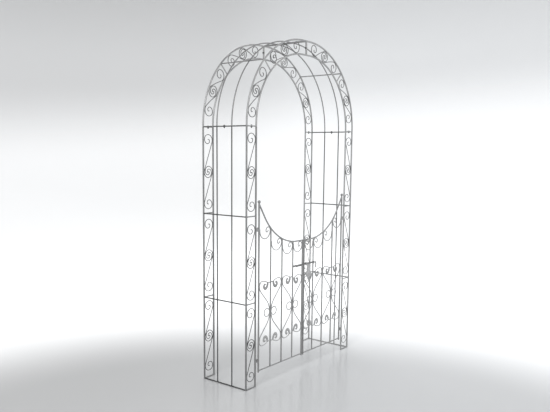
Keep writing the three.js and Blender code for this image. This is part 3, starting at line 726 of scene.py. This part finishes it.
# half a scroll pair as (across, along): a free curl, the stem, and an arm that winds to nothing
def scrollHalf(spacing):
    radius, share, power = scroll["radius"], scroll["endShare"], scroll["power"]
    lean = math.asin(2 * radius / spacing)
    curlStart, curlEnd = math.radians(scroll["curlStart"]), math.radians(scroll["curlEnd"])
    heartStart, heartEnd = math.radians(scroll["heartStart"]), math.radians(scroll["heartEnd"])
    points = []

    def wind(reach, angle, along):
        points.append((reach * math.cos(angle), along + reach * math.sin(angle)))

    count = round(scroll["curlEnd"] / scroll["step"])
    for i in range(count + 1):
        angle = curlEnd - (curlEnd + lean) * i / count
        wound = max(0, (angle - curlStart) / (curlEnd - curlStart))
        wind(radius * (share + (1 - share) * (1 - wound) ** power), angle, spacing)
    stemStart = Vector(points[-1])
    stemEnd = Vector((-stemStart.x, spacing - stemStart.y))
    for i in range(1, scroll["stemSteps"]):
        points.append(tuple(stemStart.lerp(stemEnd, i / scroll["stemSteps"])))
    start = math.pi - lean
    count = round(math.degrees(heartEnd - start) / scroll["step"])
    for i in range(count):
        angle = start + (heartEnd - start) * i / count
        wound = max(0, (angle - heartStart) / (heartEnd - heartStart))
        wind(radius * (1 - wound), angle, 0)
    return points


def scrollPair(spacing):
    half = scrollHalf(spacing)
    return half + [(0, 0)] + [(-across, -along) for across, along in reversed(half)]


# weld beads lie where the curls touch the posts, as (across, along)
def weldPlaces(spacing):
    reach = arch["ladder"] / 2 - arch["postRadius"]
    return [(reach, spacing), (-reach, 0), (reach, 0), (-reach, -spacing)]


def addLegScrolls(sideName, side, faceName, y):
    middleX = arch["halfWidth"] - arch["ladder"] / 2
    spacing = scroll["legShare"] * arch["bay"]
    for bay in range(arch["bays"]):
        node = f"{sideName}_{faceName}_leg_scroll_{bay + 1}"
        middleZ = middleOf(node).z
        piece = Piece()
        path = [(side * (middleX - a), y, middleZ + b) for a, b in scrollPair(spacing)]
        piece.wire(path, scroll["wire"], scroll["sides"])
        welds = weldPlaces(spacing)
        for i, (across, along) in enumerate(welds):
            place = (side * (middleX - across), y, middleZ + along)
            piece.bead(place, scroll["bead"], i + bay * len(welds))
        name = pieceName(sideName, faceName, "legScroll") + str(bay + 1)
        piece.finish(name, "arch", "scroll", scrollCoats[sideName], [node])


def addArchScrolls(sideName, side, faceName, y):
    middle = arch["radius"] - arch["ladder"] / 2
    spacing = math.radians(scroll["archSpread"]) * middle
    for bayName, turn in zip(("lower", "upper"), archTurns[f"{sideName}_{faceName}"]):
        piece = Piece()

        def bent(across, along):
            return archPlace(side, middle - across, math.radians(turn) + along / middle, y)

        piece.wire([bent(*point) for point in scrollPair(spacing)], scroll["wire"], scroll["sides"])
        for i, point in enumerate(weldPlaces(spacing)):
            piece.bead(bent(*point), scroll["archBead"], i + turn)
        name = pieceName(sideName, faceName, "archScroll", bayName)
        node = f"{sideName}_{faceName}_arch_scroll_{bayName}"
        piece.finish(name, "arch", "scroll", scrollCoats[sideName], [node])


for sideName, side in (leftHand, rightHand):
    for faceName, y in faces:
        addLegScrolls(sideName, side, faceName, y)
        addArchScrolls(sideName, side, faceName, y)
print("frame scrolls made")

# joint bolts

jointBolt = {
    "shank": 0.0025,
    "head": 0.0055,
    "headHeight": 0.0033,
    "nut": 0.0056,
    "nutHeight": 0.0045,
    "washer": 0.006,
    "washerHeight": 0.0008,
    "washerSteps": 24,
    "tail": 0.0034,
    "tailSink": 0.0002,
    "pitch": 0.0008,
    "threadSteps": 16,
    "rootShare": 0.86,
    "tipShare": 0.7,
    "ease": 0.0005,
}


def addHexagon(piece, centre, axis, reach, height):
    verts = bmesh.ops.create_cone(
        piece.bm, cap_ends=True, segments=6, radius1=reach, radius2=reach, depth=height
    )["verts"]
    place = Matrix.Translation(centre) @ towards(axis)
    bmesh.ops.transform(piece.bm, matrix=place, verts=verts)
    piece.easeEdges(verts, jointBolt["ease"])


# head and nut with their washers on the two sides of a joint, and the threaded tail past the nut
def addJointBolt(name, node, place, axis):
    piece = Piece()
    grip = ladder["jointGap"] + ladder["stripThickness"]
    wide, thick = jointBolt["washer"], jointBolt["washerHeight"]
    headHeight, nutHeight = jointBolt["headHeight"], jointBolt["nutHeight"]
    for way in (1, -1):
        washer = [(0, 0), (wide, 0), (wide, thick), (0, thick)]
        piece.turned(washer, place + axis * way * grip, axis * way, jointBolt["washerSteps"])
    head = place + axis * (grip + thick + headHeight / 2)
    addHexagon(piece, head, axis, jointBolt["head"], headHeight)
    nut = place - axis * (grip + thick + nutHeight / 2)
    addHexagon(piece, nut, axis, jointBolt["nut"], nutHeight)
    start = place - axis * (grip + thick + nutHeight - jointBolt["tailSink"])
    shank, pitch, tail = jointBolt["shank"], jointBolt["pitch"], jointBolt["tail"]
    thread = [(0, 0)]
    for i in range(round(tail / pitch)):
        thread.append((shank * jointBolt["rootShare"], i * pitch))
        thread.append((shank, (i + 0.5) * pitch))
    thread += [(shank * jointBolt["tipShare"], tail), (0, tail)]
    piece.turned(thread, start, -axis, jointBolt["threadSteps"])
    piece.finish(name, "arch", "fitting", jointSteel, [node])


for sideName, side in (leftHand, rightHand):
    for faceName, y in faces:
        place = Vector((side * (arch["halfWidth"] - arch["ladder"] / 2), y, arch["jointZ"]))
        name = pieceName(sideName, faceName, "jointBolt")
        addJointBolt(name, f"{sideName}_{faceName}_joint_bolt", place, zAxis)
    place = Vector((side * arch["halfWidth"], arch["middleY"], arch["jointZ"]))
    addJointBolt(pieceName(sideName, "sideJointBolt"), f"{sideName}_side_joint_bolt", place, zAxis)
crownZ = arch["springZ"] + arch["radius"]
for faceName, y in faces:
    place = Vector((0, y, crownZ - arch["ladder"] / 2))
    addJointBolt(pieceName("crown", faceName, "bolt"), f"crown_{faceName}_bolt", place, xAxis)
addJointBolt("crownRoofBolt", "crown_roof_bolt", Vector((0, arch["middleY"], crownZ)), xAxis)
print("joint bolts made")

# gate leaves

gate = {
    "y": arch["frontY"],
    "hingeX": 0.4984,
    "meetingX": 0.01,
    "edgeX": 0.004,
    "bars": 3,
    "stileRadius": 0.006,
    "barRadius": 0.005,
    "railRadius": 0.004,
    "topRadius": 0.005,
    "footZ": 0.09,
    "bottomZ": 0.103,
    "topZ": 0.935,
    "level": 0.08,
    "straight": 0.058,
    "turn": 57,
    "wire": 0.003,
    "sides": 24,
    "flare": 0.003,
    "seatShare": 0.8,  # of a stile's radius, how deep the bottom rail stands in it
    "topSeatShare": 0.6,
    "sweepStep": 2,
    "barSink": 0.002,
    "footBead": (0.0024, 0.0035, 0.0022),
    "footBeadPlace": (0.0048, 0.0038),
    "headBead": (0.0026, 0.0036, 0.0024),
    "headBeadPlace": (0.0045, 0.001),
    "seatBead": (0.003, 0.0024, 0.006),
    "seatBeadPlace": (0.003, 0.004),
}
gate["pitch"] = gate["hingeX"] / (gate["bars"] + 1)
gateTurn = math.radians(gate["turn"])
gate["sweep"] = (gate["hingeX"] - gate["level"] - gate["straight"]) / math.sin(gateTurn)
gate["rise"] = gate["sweep"] * (1 - math.cos(gateTurn))
gate["stileZ"] = gate["topZ"] + gate["rise"] + gate["straight"] * math.tan(gateTurn)


# height of the top rail at a distance from the meeting line, or of the line a drop below it
def topRailAt(distance, drop=0.0):
    if distance <= gate["level"]:
        return gate["topZ"] - drop
    if distance > gate["hingeX"] - gate["straight"]:
        return gate["stileZ"] - (gate["hingeX"] - distance) * math.tan(gateTurn)
    reach, along = gate["sweep"] + drop, distance - gate["level"]
    return gate["topZ"] + gate["sweep"] - math.sqrt(reach**2 - along**2)


# a pin that leaves the hinge stile above the eye and bends down through it
def addHingePin(piece, side, height):
    radius, y = hinge["pinRadius"], gate["y"]
    eyeBottom = height - hinge["eyeDrop"]
    top = eyeBottom + hinge["eyeHeight"] + hinge["pinGap"] + radius
    axisX = side * hinge["axisX"]
    path = [(side * (gate["hingeX"] + hinge["pinIntoStile"]), y, top)]
    for inward, fallen in quarterBend(hinge["pinBend"], hinge["pinBendSteps"]):
        path.append((axisX - side * inward, y, top - fallen))
    path.append((axisX, y, eyeBottom - hinge["pinTail"]))
    piece.wire(path, radius, hinge["pinSides"])
    for dy in (-1, 1):
        place = (side * (gate["hingeX"] + gate["stileRadius"]), y + dy * hinge["pinBeadAway"], top)
        piece.bead(place, hinge["pinBead"], dy + height)


def addLeafFrame(sideName, side):
    piece = Piece()
    y = gate["y"]

    def upright(x, low, high, radius):
        piece.rod((side * x, y, low), (side * x, y, high), radius, gate["sides"])

    meetingTop = topRailAt(gate["meetingX"]) - gate["barSink"]
    upright(gate["meetingX"], gate["footZ"], meetingTop, gate["stileRadius"])
    upright(gate["hingeX"], gate["footZ"], gate["stileZ"], gate["stileRadius"])
    away, rise = gate["footBeadPlace"]
    for i in range(1, gate["bars"] + 1):
        x = i * gate["pitch"]
        upright(x, gate["bottomZ"], topRailAt(x) - gate["barSink"], gate["barRadius"])
        for dx in (-1, 1):
            place = (side * x + dx * away, y, gate["bottomZ"] + rise)
            piece.bead(place, gate["footBead"], i + dx)
    ends = gate["stileRadius"] * gate["seatShare"]
    piece.rod(
        (side * (gate["meetingX"] + ends), y, gate["bottomZ"]),
        (side * (gate["hingeX"] - ends), y, gate["bottomZ"]),
        gate["railRadius"],
        gate["sides"],
        gate["flare"],
    )
    for height in hinge["heights"]:
        addHingePin(piece, side, height)
    name = pieceName(sideName, "leafFrame")
    piece.finish(name, f"{sideName}_leaf", "gate", gateCoat, [f"{sideName}_leaf_frame"])


# points of arcs that follow on from each other: each is a radius and a turn to the left
def arcChain(start, heading, arcs, step=7):
    points = [Vector(start)]
    for radius, turn in arcs:
        count = max(2, round(abs(turn) / step))
        angle = math.radians(turn) / count
        chord = 2 * radius * math.sin(abs(angle) / 2)
        for _ in range(count):
            heading += angle / 2
            points.append(points[-1] + chord * Vector((math.cos(heading), math.sin(heading))))
            heading += angle / 2
    return points


hook = {
    "tail": 0.012,
    "bite": 0.0014,
    "curlShare": 0.177,
    "endShare": 0.088,
    "turns": (-180, -180, -190),
    "sides": 14,
    "bead": (0.002, 0.0028, 0.005),
}


# a hook between two uprights: down one, up beside the other and over into a curl
def hookPath(hingeSide, hingeSideRadius, meetingSide, meetingSideRadius):
    start = hingeSide - hingeSideRadius - gate["wire"]
    far = meetingSide + meetingSideRadius + gate["wire"]
    curl, end = hook["curlShare"] * gate["pitch"], hook["endShare"] * gate["pitch"]
    drop = gate["topRadius"] + curl + gate["wire"] - hook["bite"]
    height = topRailAt(far + curl, drop)
    arcs = zip(((start - far) / 2, curl, end), hook["turns"])
    tail = [Vector((start, height + hook["tail"] * share)) for share in (1, 0.5)]
    return tail + arcChain((start, height), -math.pi / 2, arcs)


def inLeaf(side, points):
    return [Vector((side * point.x, gate["y"], point.y)) for point in points]


def addTopRail(sideName, side):
    piece = Piece()
    level, top = gate["level"], gate["topZ"]
    path = [Vector((gate["edgeX"], top)), Vector((level / 2, top))]
    path += arcChain((level, top), 0, [(gate["sweep"], gate["turn"])], gate["sweepStep"])
    reach = gate["hingeX"] - gate["stileRadius"] * gate["topSeatShare"]
    path.append(Vector((reach, topRailAt(reach))))
    piece.wire(inLeaf(side, path), gate["topRadius"], gate["sides"])
    stileFace = gate["hingeX"] - gate["stileRadius"]
    away, drop = gate["seatBeadPlace"]
    for dy in (-1, 1):
        place = (side * stileFace, gate["y"] + dy * away, topRailAt(stileFace) - drop)
        piece.bead(place, gate["seatBead"], dy)
    away, drop = gate["headBeadPlace"]
    for i in range(gate["bars"] + 1):
        last, first = i == gate["bars"], i == 0
        points = hookPath(
            gate["hingeX"] if last else (i + 1) * gate["pitch"],
            gate["stileRadius"] if last else gate["barRadius"],
            gate["meetingX"] if first else i * gate["pitch"],
            gate["stileRadius"] if first else gate["barRadius"],
        )
        piece.wire(inLeaf(side, points), gate["wire"], hook["sides"])
        weld = points[1]
        piece.bead((side * (weld.x + gate["wire"]), gate["y"], weld.y), hook["bead"], i)
        if i:
            x = i * gate["pitch"]
            for dx in (-1, 1):
                z = topRailAt(x + dx * away) - gate["topRadius"] - drop
                piece.bead((side * x + dx * away, gate["y"], z), gate["headBead"], i + dx)
    name = pieceName(sideName, "leafTopRail")
    piece.finish(name, f"{sideName}_leaf", "gate", gateCoat, [f"{sideName}_leaf_top_rail"])


# radii and widths are shares of the room between the bar and its neighbour, turns are in degrees,
# and the swell and the taper are shares of the leaf's length
gateScroll = {
    "z": 0.4857,
    "neckTurn": 43,
    "neckStep": 5,
    "neckOuter": 1.25,
    "neckInner": 0.61,
    "lobe": ((0.4, 30), (0.265, 60), (1.11, 28)),
    "leaf": ((0.122, 62), (0.363, 50), (0.163, 170), (0.09, 125)),
    "leafWidth": 0.21,
    "leafTip": 0.05,
    "leafThickness": 0.0019,
    "swell": 0.14,
    "taper": 0.3,
    "sides": 16,
    "tieAngle": 35,
    "tieShare": 1.1,  # of the wire's radius
    "tieSides": 12,
    "ring": 0.57,
    "ringSeatShare": 0.6,
    "ringSides": 14,
    "ringSteps": 48,
    "bead": (0.002, 0.0028, 0.0045),
    "pinchBead": (0.0018, 0.0026, 0.003),
}
gateScroll["waist"] = gate["barRadius"] + gate["wire"]
stileReach = gate["meetingX"] + gate["stileRadius"]
gateScroll["room"] = gate["pitch"] - stileReach - gate["wire"] - gateScroll["waist"]


# upper half of a gate scroll as (across, up) from its waist: the stem, the leaf and the tied point
def gateScrollHalf(reach):
    room, waist = gateScroll["room"], gateScroll["waist"]
    neckTurn = gateScroll["neckTurn"]
    turn = math.radians(neckTurn)
    outer, inner = gateScroll["neckOuter"] * room, gateScroll["neckInner"] * room
    straight = (reach - waist - (outer + inner) * (1 - math.cos(turn))) / math.sin(turn)
    rise = arcChain((waist, 0), math.pi / 2, [(outer, -neckTurn)], gateScroll["neckStep"])
    heading = math.pi / 2 - turn
    start = rise[-1] + straight * Vector((math.cos(heading), math.sin(heading)))
    middle = rise[-1].lerp(start, 0.5)
    lobe = [(inner, neckTurn)] + [(share * room, bend) for share, bend in gateScroll["lobe"]]
    upTo = arcChain(start, heading, lobe)
    leafHeading = heading + math.radians(sum(bend for _, bend in lobe))
    leaf = [(share * room, bend) for share, bend in gateScroll["leaf"]]
    leafPath = arcChain(upTo[-1], leafHeading, leaf)
    tied = arcChain(upTo[-1], leafHeading, [(leaf[0][0], gateScroll["tieAngle"])])[-1]
    return rise + [middle] + upTo, leafPath[1:], tied


def eased(share):
    return share * share * (3 - 2 * share)


# the share of a leaf from its tip gives its half width and half thickness
def leafSection(fromTip):
    wire, room = gate["wire"], gateScroll["room"]
    if fromTip >= 1:
        return wire, wire
    swell = eased(min(1, (1 - fromTip) / gateScroll["swell"]))
    taper = math.sin(min(1, fromTip / gateScroll["taper"]) * math.pi / 2)
    tip, wide = gateScroll["leafTip"] * room / 2, gateScroll["leafWidth"] * room / 2
    width = min(wire + (wide - wire) * swell, tip + (wide - tip) * taper)
    return width, wire + (gateScroll["leafThickness"] - wire) * swell


# the ring at a scroll's waist: a round section spun about the ring's middle
def addRing(piece, centre, radius):
    section = bmesh.ops.create_circle(
        piece.bm, segments=gateScroll["ringSides"], radius=gate["wire"]
    )["verts"]
    place = Matrix.Translation(centre + Vector((radius, 0, 0)))
    bmesh.ops.transform(piece.bm, matrix=place, verts=section)
    edges = list({edge for vert in section for edge in vert.link_edges})
    piece.spun(section + edges, centre, yAxis, gateScroll["ringSteps"])


def addGateScroll(sideName, side, number, bar, direction, neighbour, neighbourRadius):
    stem, leaf, tied = gateScrollHalf(neighbour - neighbourRadius - gate["wire"])
    half = stem + leaf
    lower = [Vector((point.x, -point.y)) for point in half][:0:-1]
    lengths = runningLengths(half)
    leafShare = (lengths[-1] - lengths[len(stem) - 1]) / (2 * lengths[-1])

    # a place in the gate, from distances away from the bar and above the waist
    def beside(across, up):
        return Vector((side * (bar + direction * across), gate["y"], gateScroll["z"] + up))

    def shape(share):
        return leafSection(min(share, 1 - share) / leafShare)

    piece = Piece()
    points = [beside(*point) for point in lower + half]
    piece.wire(points, gate["wire"], gateScroll["sides"], shape=shape)
    # short ties from the bar to the backs of the leaves
    tieRadius = gate["wire"] * gateScroll["tieShare"]
    for up in (tied.y, -tied.y):
        tie = [beside(gate["barRadius"], up), beside(tied.x, up)]
        piece.wire(tie, tieRadius, gateScroll["tieSides"])
    waist = gateScroll["waist"]
    ringRadius = gateScroll["ring"] * gateScroll["room"] / 2
    ringSeat = waist + gate["wire"] * gateScroll["ringSeatShare"]
    addRing(piece, beside(ringSeat + ringRadius, 0), ringRadius)
    reach, touch = neighbour - neighbourRadius, max(half, key=lambda point: point.x)
    welds = [(gate["barRadius"], 0), (reach, touch.y), (reach, -touch.y)]
    for i, weld in enumerate(welds):
        piece.bead(beside(*weld), gateScroll["bead"], i + number)
    piece.bead(beside(waist + gate["wire"], 0), gateScroll["pinchBead"], number)
    name = pieceName(sideName, "leafScroll") + str(number)
    node = f"{sideName}_leaf_scroll_{number}"
    piece.finish(name, f"{sideName}_leaf", "gate_scroll", gateScrollCoat, [node])


finial = {
    "radius": 0.0105,
    "neck": 0.0045,
    "neckHeight": 0.003,
    "collarWidth": 0.0012,
    "collarHeight": 0.0012,
    "collarTop": 0.0019,
    "arcSteps": 18,
    "steps": 32,
}


def addFinial(sideName, side):
    piece = Piece()
    radius, neck = finial["radius"], finial["neck"]
    base = Vector((side * gate["hingeX"], gate["y"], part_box(f"{sideName}_finial")[0].z))
    centre = finial["neckHeight"] + math.sqrt(radius**2 - neck**2)
    collar = neck + finial["collarWidth"]
    profile = [(0, 0), (collar, 0), (collar, finial["collarHeight"]), (neck, finial["collarTop"])]
    first = math.pi - math.asin(neck / radius)
    for i in range(finial["arcSteps"]):
        angle = first * (1 - i / finial["arcSteps"])
        profile.append((radius * math.sin(angle), centre + radius * math.cos(angle)))
    profile.append((0, centre + radius))
    piece.turned(profile, base, zAxis, finial["steps"])
    name = pieceName(sideName, "finial")
    piece.finish(name, f"{sideName}_leaf", "gate", gateCoat, [f"{sideName}_finial"])


for sideName, side in (leftHand, rightHand):
    addLeafFrame(sideName, side)
    addTopRail(sideName, side)
    pitch = gate["pitch"]
    outer, inner = gate["bars"] * pitch, pitch
    bar, stile = gate["barRadius"], gate["stileRadius"]
    addGateScroll(sideName, side, 1, outer, 1, gate["hingeX"] - outer, stile)
    addGateScroll(sideName, side, 2, outer, -1, pitch, bar)
    addGateScroll(sideName, side, 3, inner, 1, pitch, bar)
    addGateScroll(sideName, side, 4, inner, -1, inner - gate["meetingX"], stile)
    addFinial(sideName, side)
print("gate leaves made")

# slide bolt

latch = {
    "z": middleOf("bolt_cradle").z,
    "y": (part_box("slide_bolt")[0].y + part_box("slide_bolt")[1].y) / 2,
    "radius": 0.004,
    "sides": 24,
    "bend": 0.009,
    "bendSteps": 10,
    "plateThickness": 0.0033,
    "plateEase": 0.0006,
    "band": 0.0065,
    "clearance": 0.0003,
    "endRivets": (0.004, 0.005),
}
latch["plateBack"] = gate["y"] - gate["stileRadius"]
latch["plateFront"] = latch["plateBack"] - latch["plateThickness"]
latch["tip"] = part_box("slide_bolt")[0].x
latch["reach"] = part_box("slide_bolt")[1].x - latch["radius"]
latch["foot"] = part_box("slide_bolt")[0].z

guide = {
    "inset": 0.018,
    "wall": 0.0016,
    "width": 0.009,
    "room": 0.0012,
    "sink": 0.0012,
    "corner": 0.0035,
    "cornerSteps": 6,
    "sides": 16,
    "bead": (0.0022, 0.0012, 0.0024),
    "beadAway": 0.0028,
}


# a strap bent round the bolt, from the plate and back to it
def addGuide(piece, x):
    wall, middle = guide["wall"], latch["z"]
    reach = latch["radius"] + latch["clearance"] + wall
    front, top = latch["y"] - reach, middle + reach + guide["room"]
    corner = quarterBend(guide["corner"], guide["cornerSteps"])
    path = [(x, latch["plateFront"] + guide["sink"], top)]
    path += [(x, front + behind, top - fallen) for behind, fallen in corner]
    lower = [(x, y, 2 * middle - z) for _, y, z in reversed(path)]

    def strap(_):
        return wall, guide["width"] / 2

    piece.wire(path + lower, wall, guide["sides"], flatNormal=xAxis, shape=strap)
    for z in (top, lower[-1][2]):
        for dx in (-1, 1):
            place = (x + dx * guide["beadAway"], latch["plateFront"], z)
            piece.bead(place, guide["bead"], dx + z)


rivet = {
    "radius": 0.0026,
    "rim": 0.0004,
    "dome": 0.0011,
    "domeAngles": (0.3, 0.7, 1.1),
    "top": 0.0016,
    "steps": 16,
}


def addRivet(piece, x, z):
    radius = rivet["radius"]
    profile = [(0, 0), (radius, 0)]
    for angle in rivet["domeAngles"]:
        height = rivet["rim"] + rivet["dome"] * math.sin(angle)
        profile.append((radius * math.cos(angle), height))
    profile.append((0, rivet["top"]))
    piece.turned(profile, Vector((x, latch["plateFront"], z)), -yAxis, rivet["steps"])


# all but the steps and the rivet's drop are shares of the distance from bar to bar
shield = {
    "centre": 0.46,
    "neck": 0.31,
    "width": 0.54,
    "height": 0.45,
    "middle": 0.61,
    "steps": 36,
    "neckRivetDrop": 0.012,
}


# the band behind the bolt on the right leaf, with a shield that hangs from it on a neck
def addBackPlate():
    piece = Piece()
    pitch, z, band = gate["pitch"], latch["z"], latch["band"]
    bandEnd = pitch + gate["barRadius"]
    centre, middle = shield["centre"] * pitch, z - shield["middle"] * pitch
    halfNeck, halfWide = shield["neck"] * pitch / 2, shield["width"] * pitch / 2
    halfHigh = shield["height"] * pitch / 2
    neckAngle = math.acos(halfNeck / halfWide)
    outline = [(gate["edgeX"], z - band), (gate["edgeX"], z + band), (bandEnd, z + band)]
    outline += [(bandEnd, z - band), (centre + halfNeck, z - band)]
    for i in range(shield["steps"] + 1):
        angle = (math.pi + 2 * neckAngle) * i / shield["steps"] - neckAngle
        x = centre + halfWide * math.cos(angle)
        outline.append((x, middle - halfHigh * math.sin(angle)))
    outline.append((centre - halfNeck, z - band))
    piece.plate(outline, latch["plateBack"], latch["plateFront"], latch["plateEase"])
    for x in (guide["inset"], bandEnd - guide["inset"]):
        addGuide(piece, x)
    addRivet(piece, centre, z - band - shield["neckRivetDrop"])
    addRivet(piece, centre, middle)
    nearRivet, farRivet = latch["endRivets"]
    addRivet(piece, gate["edgeX"] + nearRivet, z)
    addRivet(piece, bandEnd - farRivet, z)
    piece.finish("boltBackPlate", "right_leaf", "fitting", fittingZinc, ["bolt_back_plate"])


cradle = {
    "halfShare": 0.28,  # of the distance from bar to bar
    "depth": 0.008,
    "clearance": 0.0007,
    "wall": 0.003,
    "sink": 0.001,
    "ease": 0.001,
    "easeSegments": 3,
    "rivetInset": 0.007,
}


# the band on the left leaf, with a jaw above and below the bolt that leaves its front open
def addCradle():
    piece = Piece()
    z, band = latch["z"], latch["band"]
    start, end = gate["edgeX"], gate["pitch"] + gate["barRadius"]
    outline = [(-start, z - band), (-start, z + band), (-end, z + band), (-end, z - band)]
    piece.plate(outline, latch["plateBack"], latch["plateFront"], latch["plateEase"])
    half, middle = cradle["halfShare"] * gate["pitch"], -(start + end) / 2
    front = latch["y"] + latch["radius"] - cradle["depth"]
    back = latch["plateFront"] + cradle["sink"]
    inner = latch["radius"] + cradle["clearance"]
    for way in (-1, 1):
        low, high = sorted((z + way * inner, z + way * (inner + cradle["wall"])))
        corners = (middle - half, front, low), (middle + half, back, high)
        piece.block(*corners, cradle["ease"], cradle["easeSegments"])
    addRivet(piece, -start - cradle["rivetInset"], z)
    addRivet(piece, -end + cradle["rivetInset"], z)
    piece.finish("boltCradle", "left_leaf", "fitting", fittingZinc, ["bolt_cradle"])


# one rod, bent down at its right end into a handle
def addSlideBolt():
    piece = Piece()
    reach, y, z = latch["reach"], latch["y"], latch["z"]
    bend = quarterBend(latch["bend"], latch["bendSteps"])
    path = [(latch["tip"], y, z), (0, y, z)]
    path += [(reach - short, y, z - fallen) for short, fallen in bend]
    path.append((reach, y, latch["foot"]))
    piece.wire(path, latch["radius"], latch["sides"])
    piece.finish("slideBolt", "bolt", "fitting", boltSteel, ["slide_bolt"])


addBackPlate()
addCradle()
addSlideBolt()
print("slide bolt made")

# floor, lights and camera

# the wall glows past a distance from the glow's middle, and less in each fade upwards: from, to
# and how much of the glow is lost. The floor's paint is paler towards one side, as painted light.
studio = {
    "flat": 5.5,
    "flatSteps": 6,
    "bend": 3.5,
    "bendSteps": 12,
    "wall": 9,
    "sides": 72,
    "mergeWithin": 1e-4,
    "tone": 0.6,
    "dim": (0.86, -0.004),
    "bright": (1.1, -0.014),
    "brightWay": (0.616, -0.788, 0),
    "brightRange": (-1.4, 0.8),
    "drift": (0.6, 2, 0.5),
    "driftShare": 0.1,
    "roughness": 0.12,
    "driftRoughness": 0.05,
    "glow": (0.6, -0.01),
    "glowCentre": (-1.64, -1.15, 0),
    "glowReach": (2.05, 3.6),
    "fadeLean": 0.07,
    "fades": ((1.6, 3.2, 0.56), (3, 5.5, 0.22)),
    "skylight": 0.41,
}


# pale gloss paint that glows where it covers the wall
def studioPaint():
    paint = Finish("studioPaint")

    def measured(operation, other):
        values = {0: paint.place, 1: other}
        return paint.node("ShaderNodeVectorMath", {"operation": operation}, values, "Value")

    reach = measured("DISTANCE", studio["glowCentre"])
    sideways = measured("DOT_PRODUCT", studio["brightWay"])
    level = paint.height() - sideways * studio["fadeLean"]
    fade = 1
    for low, high, lost in studio["fades"]:
        fade = fade - paint.between(level, low, high) * lost
    glow = paint.between(reach, *studio["glowReach"]) * fade
    drift = paint.noise(*studio["drift"])
    share, tone = studio["driftShare"], studio["tone"]
    # painted light: the base colour is paler towards one side, with a little random drift
    paintedLightAndDrift = paint.between(sideways, *studio["brightRange"]) * (1 - share) + drift * share
    dim, bright = toned(tone, *studio["dim"]), toned(tone, *studio["bright"])
    return paint.surface(
        {
            "Base Color": paint.mixed(paintedLightAndDrift, dim, bright),
            "Roughness": studio["roughness"] + drift * studio["driftRoughness"],
            "Emission Color": paint.mixed(glow, grey(0), grey(*studio["glow"])),
            "Emission Strength": 1,
        }
    )


# a pale round floor that curves up into a glowing wall, far behind the arch on every side
def addFloor():
    room = Piece()
    flat, bend = studio["flat"], studio["bend"]
    profile = [(flat * i / studio["flatSteps"], 0) for i in range(studio["flatSteps"])]
    for short, risen in quarterBend(bend, studio["bendSteps"]):
        profile.append((flat + bend - short, risen))
    profile.append((flat + bend, studio["wall"]))
    room.turned(profile, Vector((0, 0, 0)), zAxis, studio["sides"])
    bmesh.ops.remove_doubles(room.bm, verts=room.bm.verts, dist=studio["mergeWithin"])
    bmesh.ops.recalc_face_normals(room.bm, faces=room.bm.faces)
    if room.bm.faces[:][0].normal.z < 0:
        bmesh.ops.reverse_faces(room.bm, faces=room.bm.faces)
    mesh = bpy.data.meshes.new("studioFloor")
    room.bm.to_mesh(mesh)
    room.bm.free()
    mesh.shade_smooth()
    mesh.materials.append(studioPaint())
    floor = bpy.data.objects.new("studioFloor", mesh)
    bpy.context.scene.collection.objects.link(floor)


# place, aim, size and power
softboxes = {
    "keySoftbox": ((-4.2, -1.2, 4.2), (0, 0, 1.1), (1.6, 2.4), 126),
    "fillSoftbox": ((3.2, -4.2, 3.5), (0, 0, 1.1), (2, 2), 46),
    "backSoftbox": ((3, 3.5, 4.6), (0, 0, 1.2), (2.5, 2), 104),
}


def addSoftbox(name, place, aim, size, power):
    light = bpy.data.lights.new(name, "AREA")
    light.shape = "RECTANGLE"
    light.size, light.size_y = size
    light.energy = power
    lamp = bpy.data.objects.new(name, light)
    lamp.location = place
    lamp.rotation_euler = (Vector(aim) - Vector(place)).to_track_quat("-Z", "Y").to_euler()
    bpy.context.scene.collection.objects.link(lamp)


# angles in radians; the focal length and the picture's middle and size in pixels
view = {
    "place": (-3.7151, -2.8168, 1.5454),
    "azimuth": -0.9099,
    "rise": 0.1349,
    "roll": 0.009,
    "focal": 645.5,
    "middleColumn": 275.5,
    "middleRow": 240.7,
    "width": 550,
    "height": 412,
    "sensor": 36,
    "farthest": 200,
}


def addCamera():
    turn, rise, roll = view["azimuth"], view["rise"], view["roll"]
    back = Vector((math.sin(turn) * math.cos(rise), -math.cos(turn) * math.cos(rise), math.sin(rise)))
    level = Vector((math.cos(turn), math.sin(turn), 0))
    up = back.cross(level)
    right = level * math.cos(roll) + up * math.sin(roll)
    top = up * math.cos(roll) - level * math.sin(roll)
    camera = bpy.data.cameras.new("camera")
    camera.sensor_fit = "HORIZONTAL"
    camera.sensor_width = view["sensor"]
    camera.lens = view["focal"] / view["width"] * camera.sensor_width
    camera.shift_x = (view["width"] / 2 - view["middleColumn"]) / view["width"]
    camera.shift_y = (view["middleRow"] - view["height"] / 2) / view["width"]
    camera.clip_end = view["farthest"]
    holder = bpy.data.objects.new("camera", camera)
    turned = Matrix((right, top, back)).transposed().to_4x4()
    holder.matrix_world = Matrix.Translation(view["place"]) @ turned
    bpy.context.scene.collection.objects.link(holder)
    bpy.context.scene.camera = holder


def addSkylight():
    air = bpy.data.worlds.new("studioAir")
    air.use_nodes = True
    light = air.node_tree.nodes["Background"]
    light.inputs["Color"].default_value = grey(1)
    light.inputs["Strength"].default_value = studio["skylight"]
    bpy.context.scene.world = air


addFloor()
for name, settings in softboxes.items():
    addSoftbox(name, *settings)
addSkylight()
bpy.context.scene.view_settings.view_transform = "Standard"
addCamera()
print("studio made")
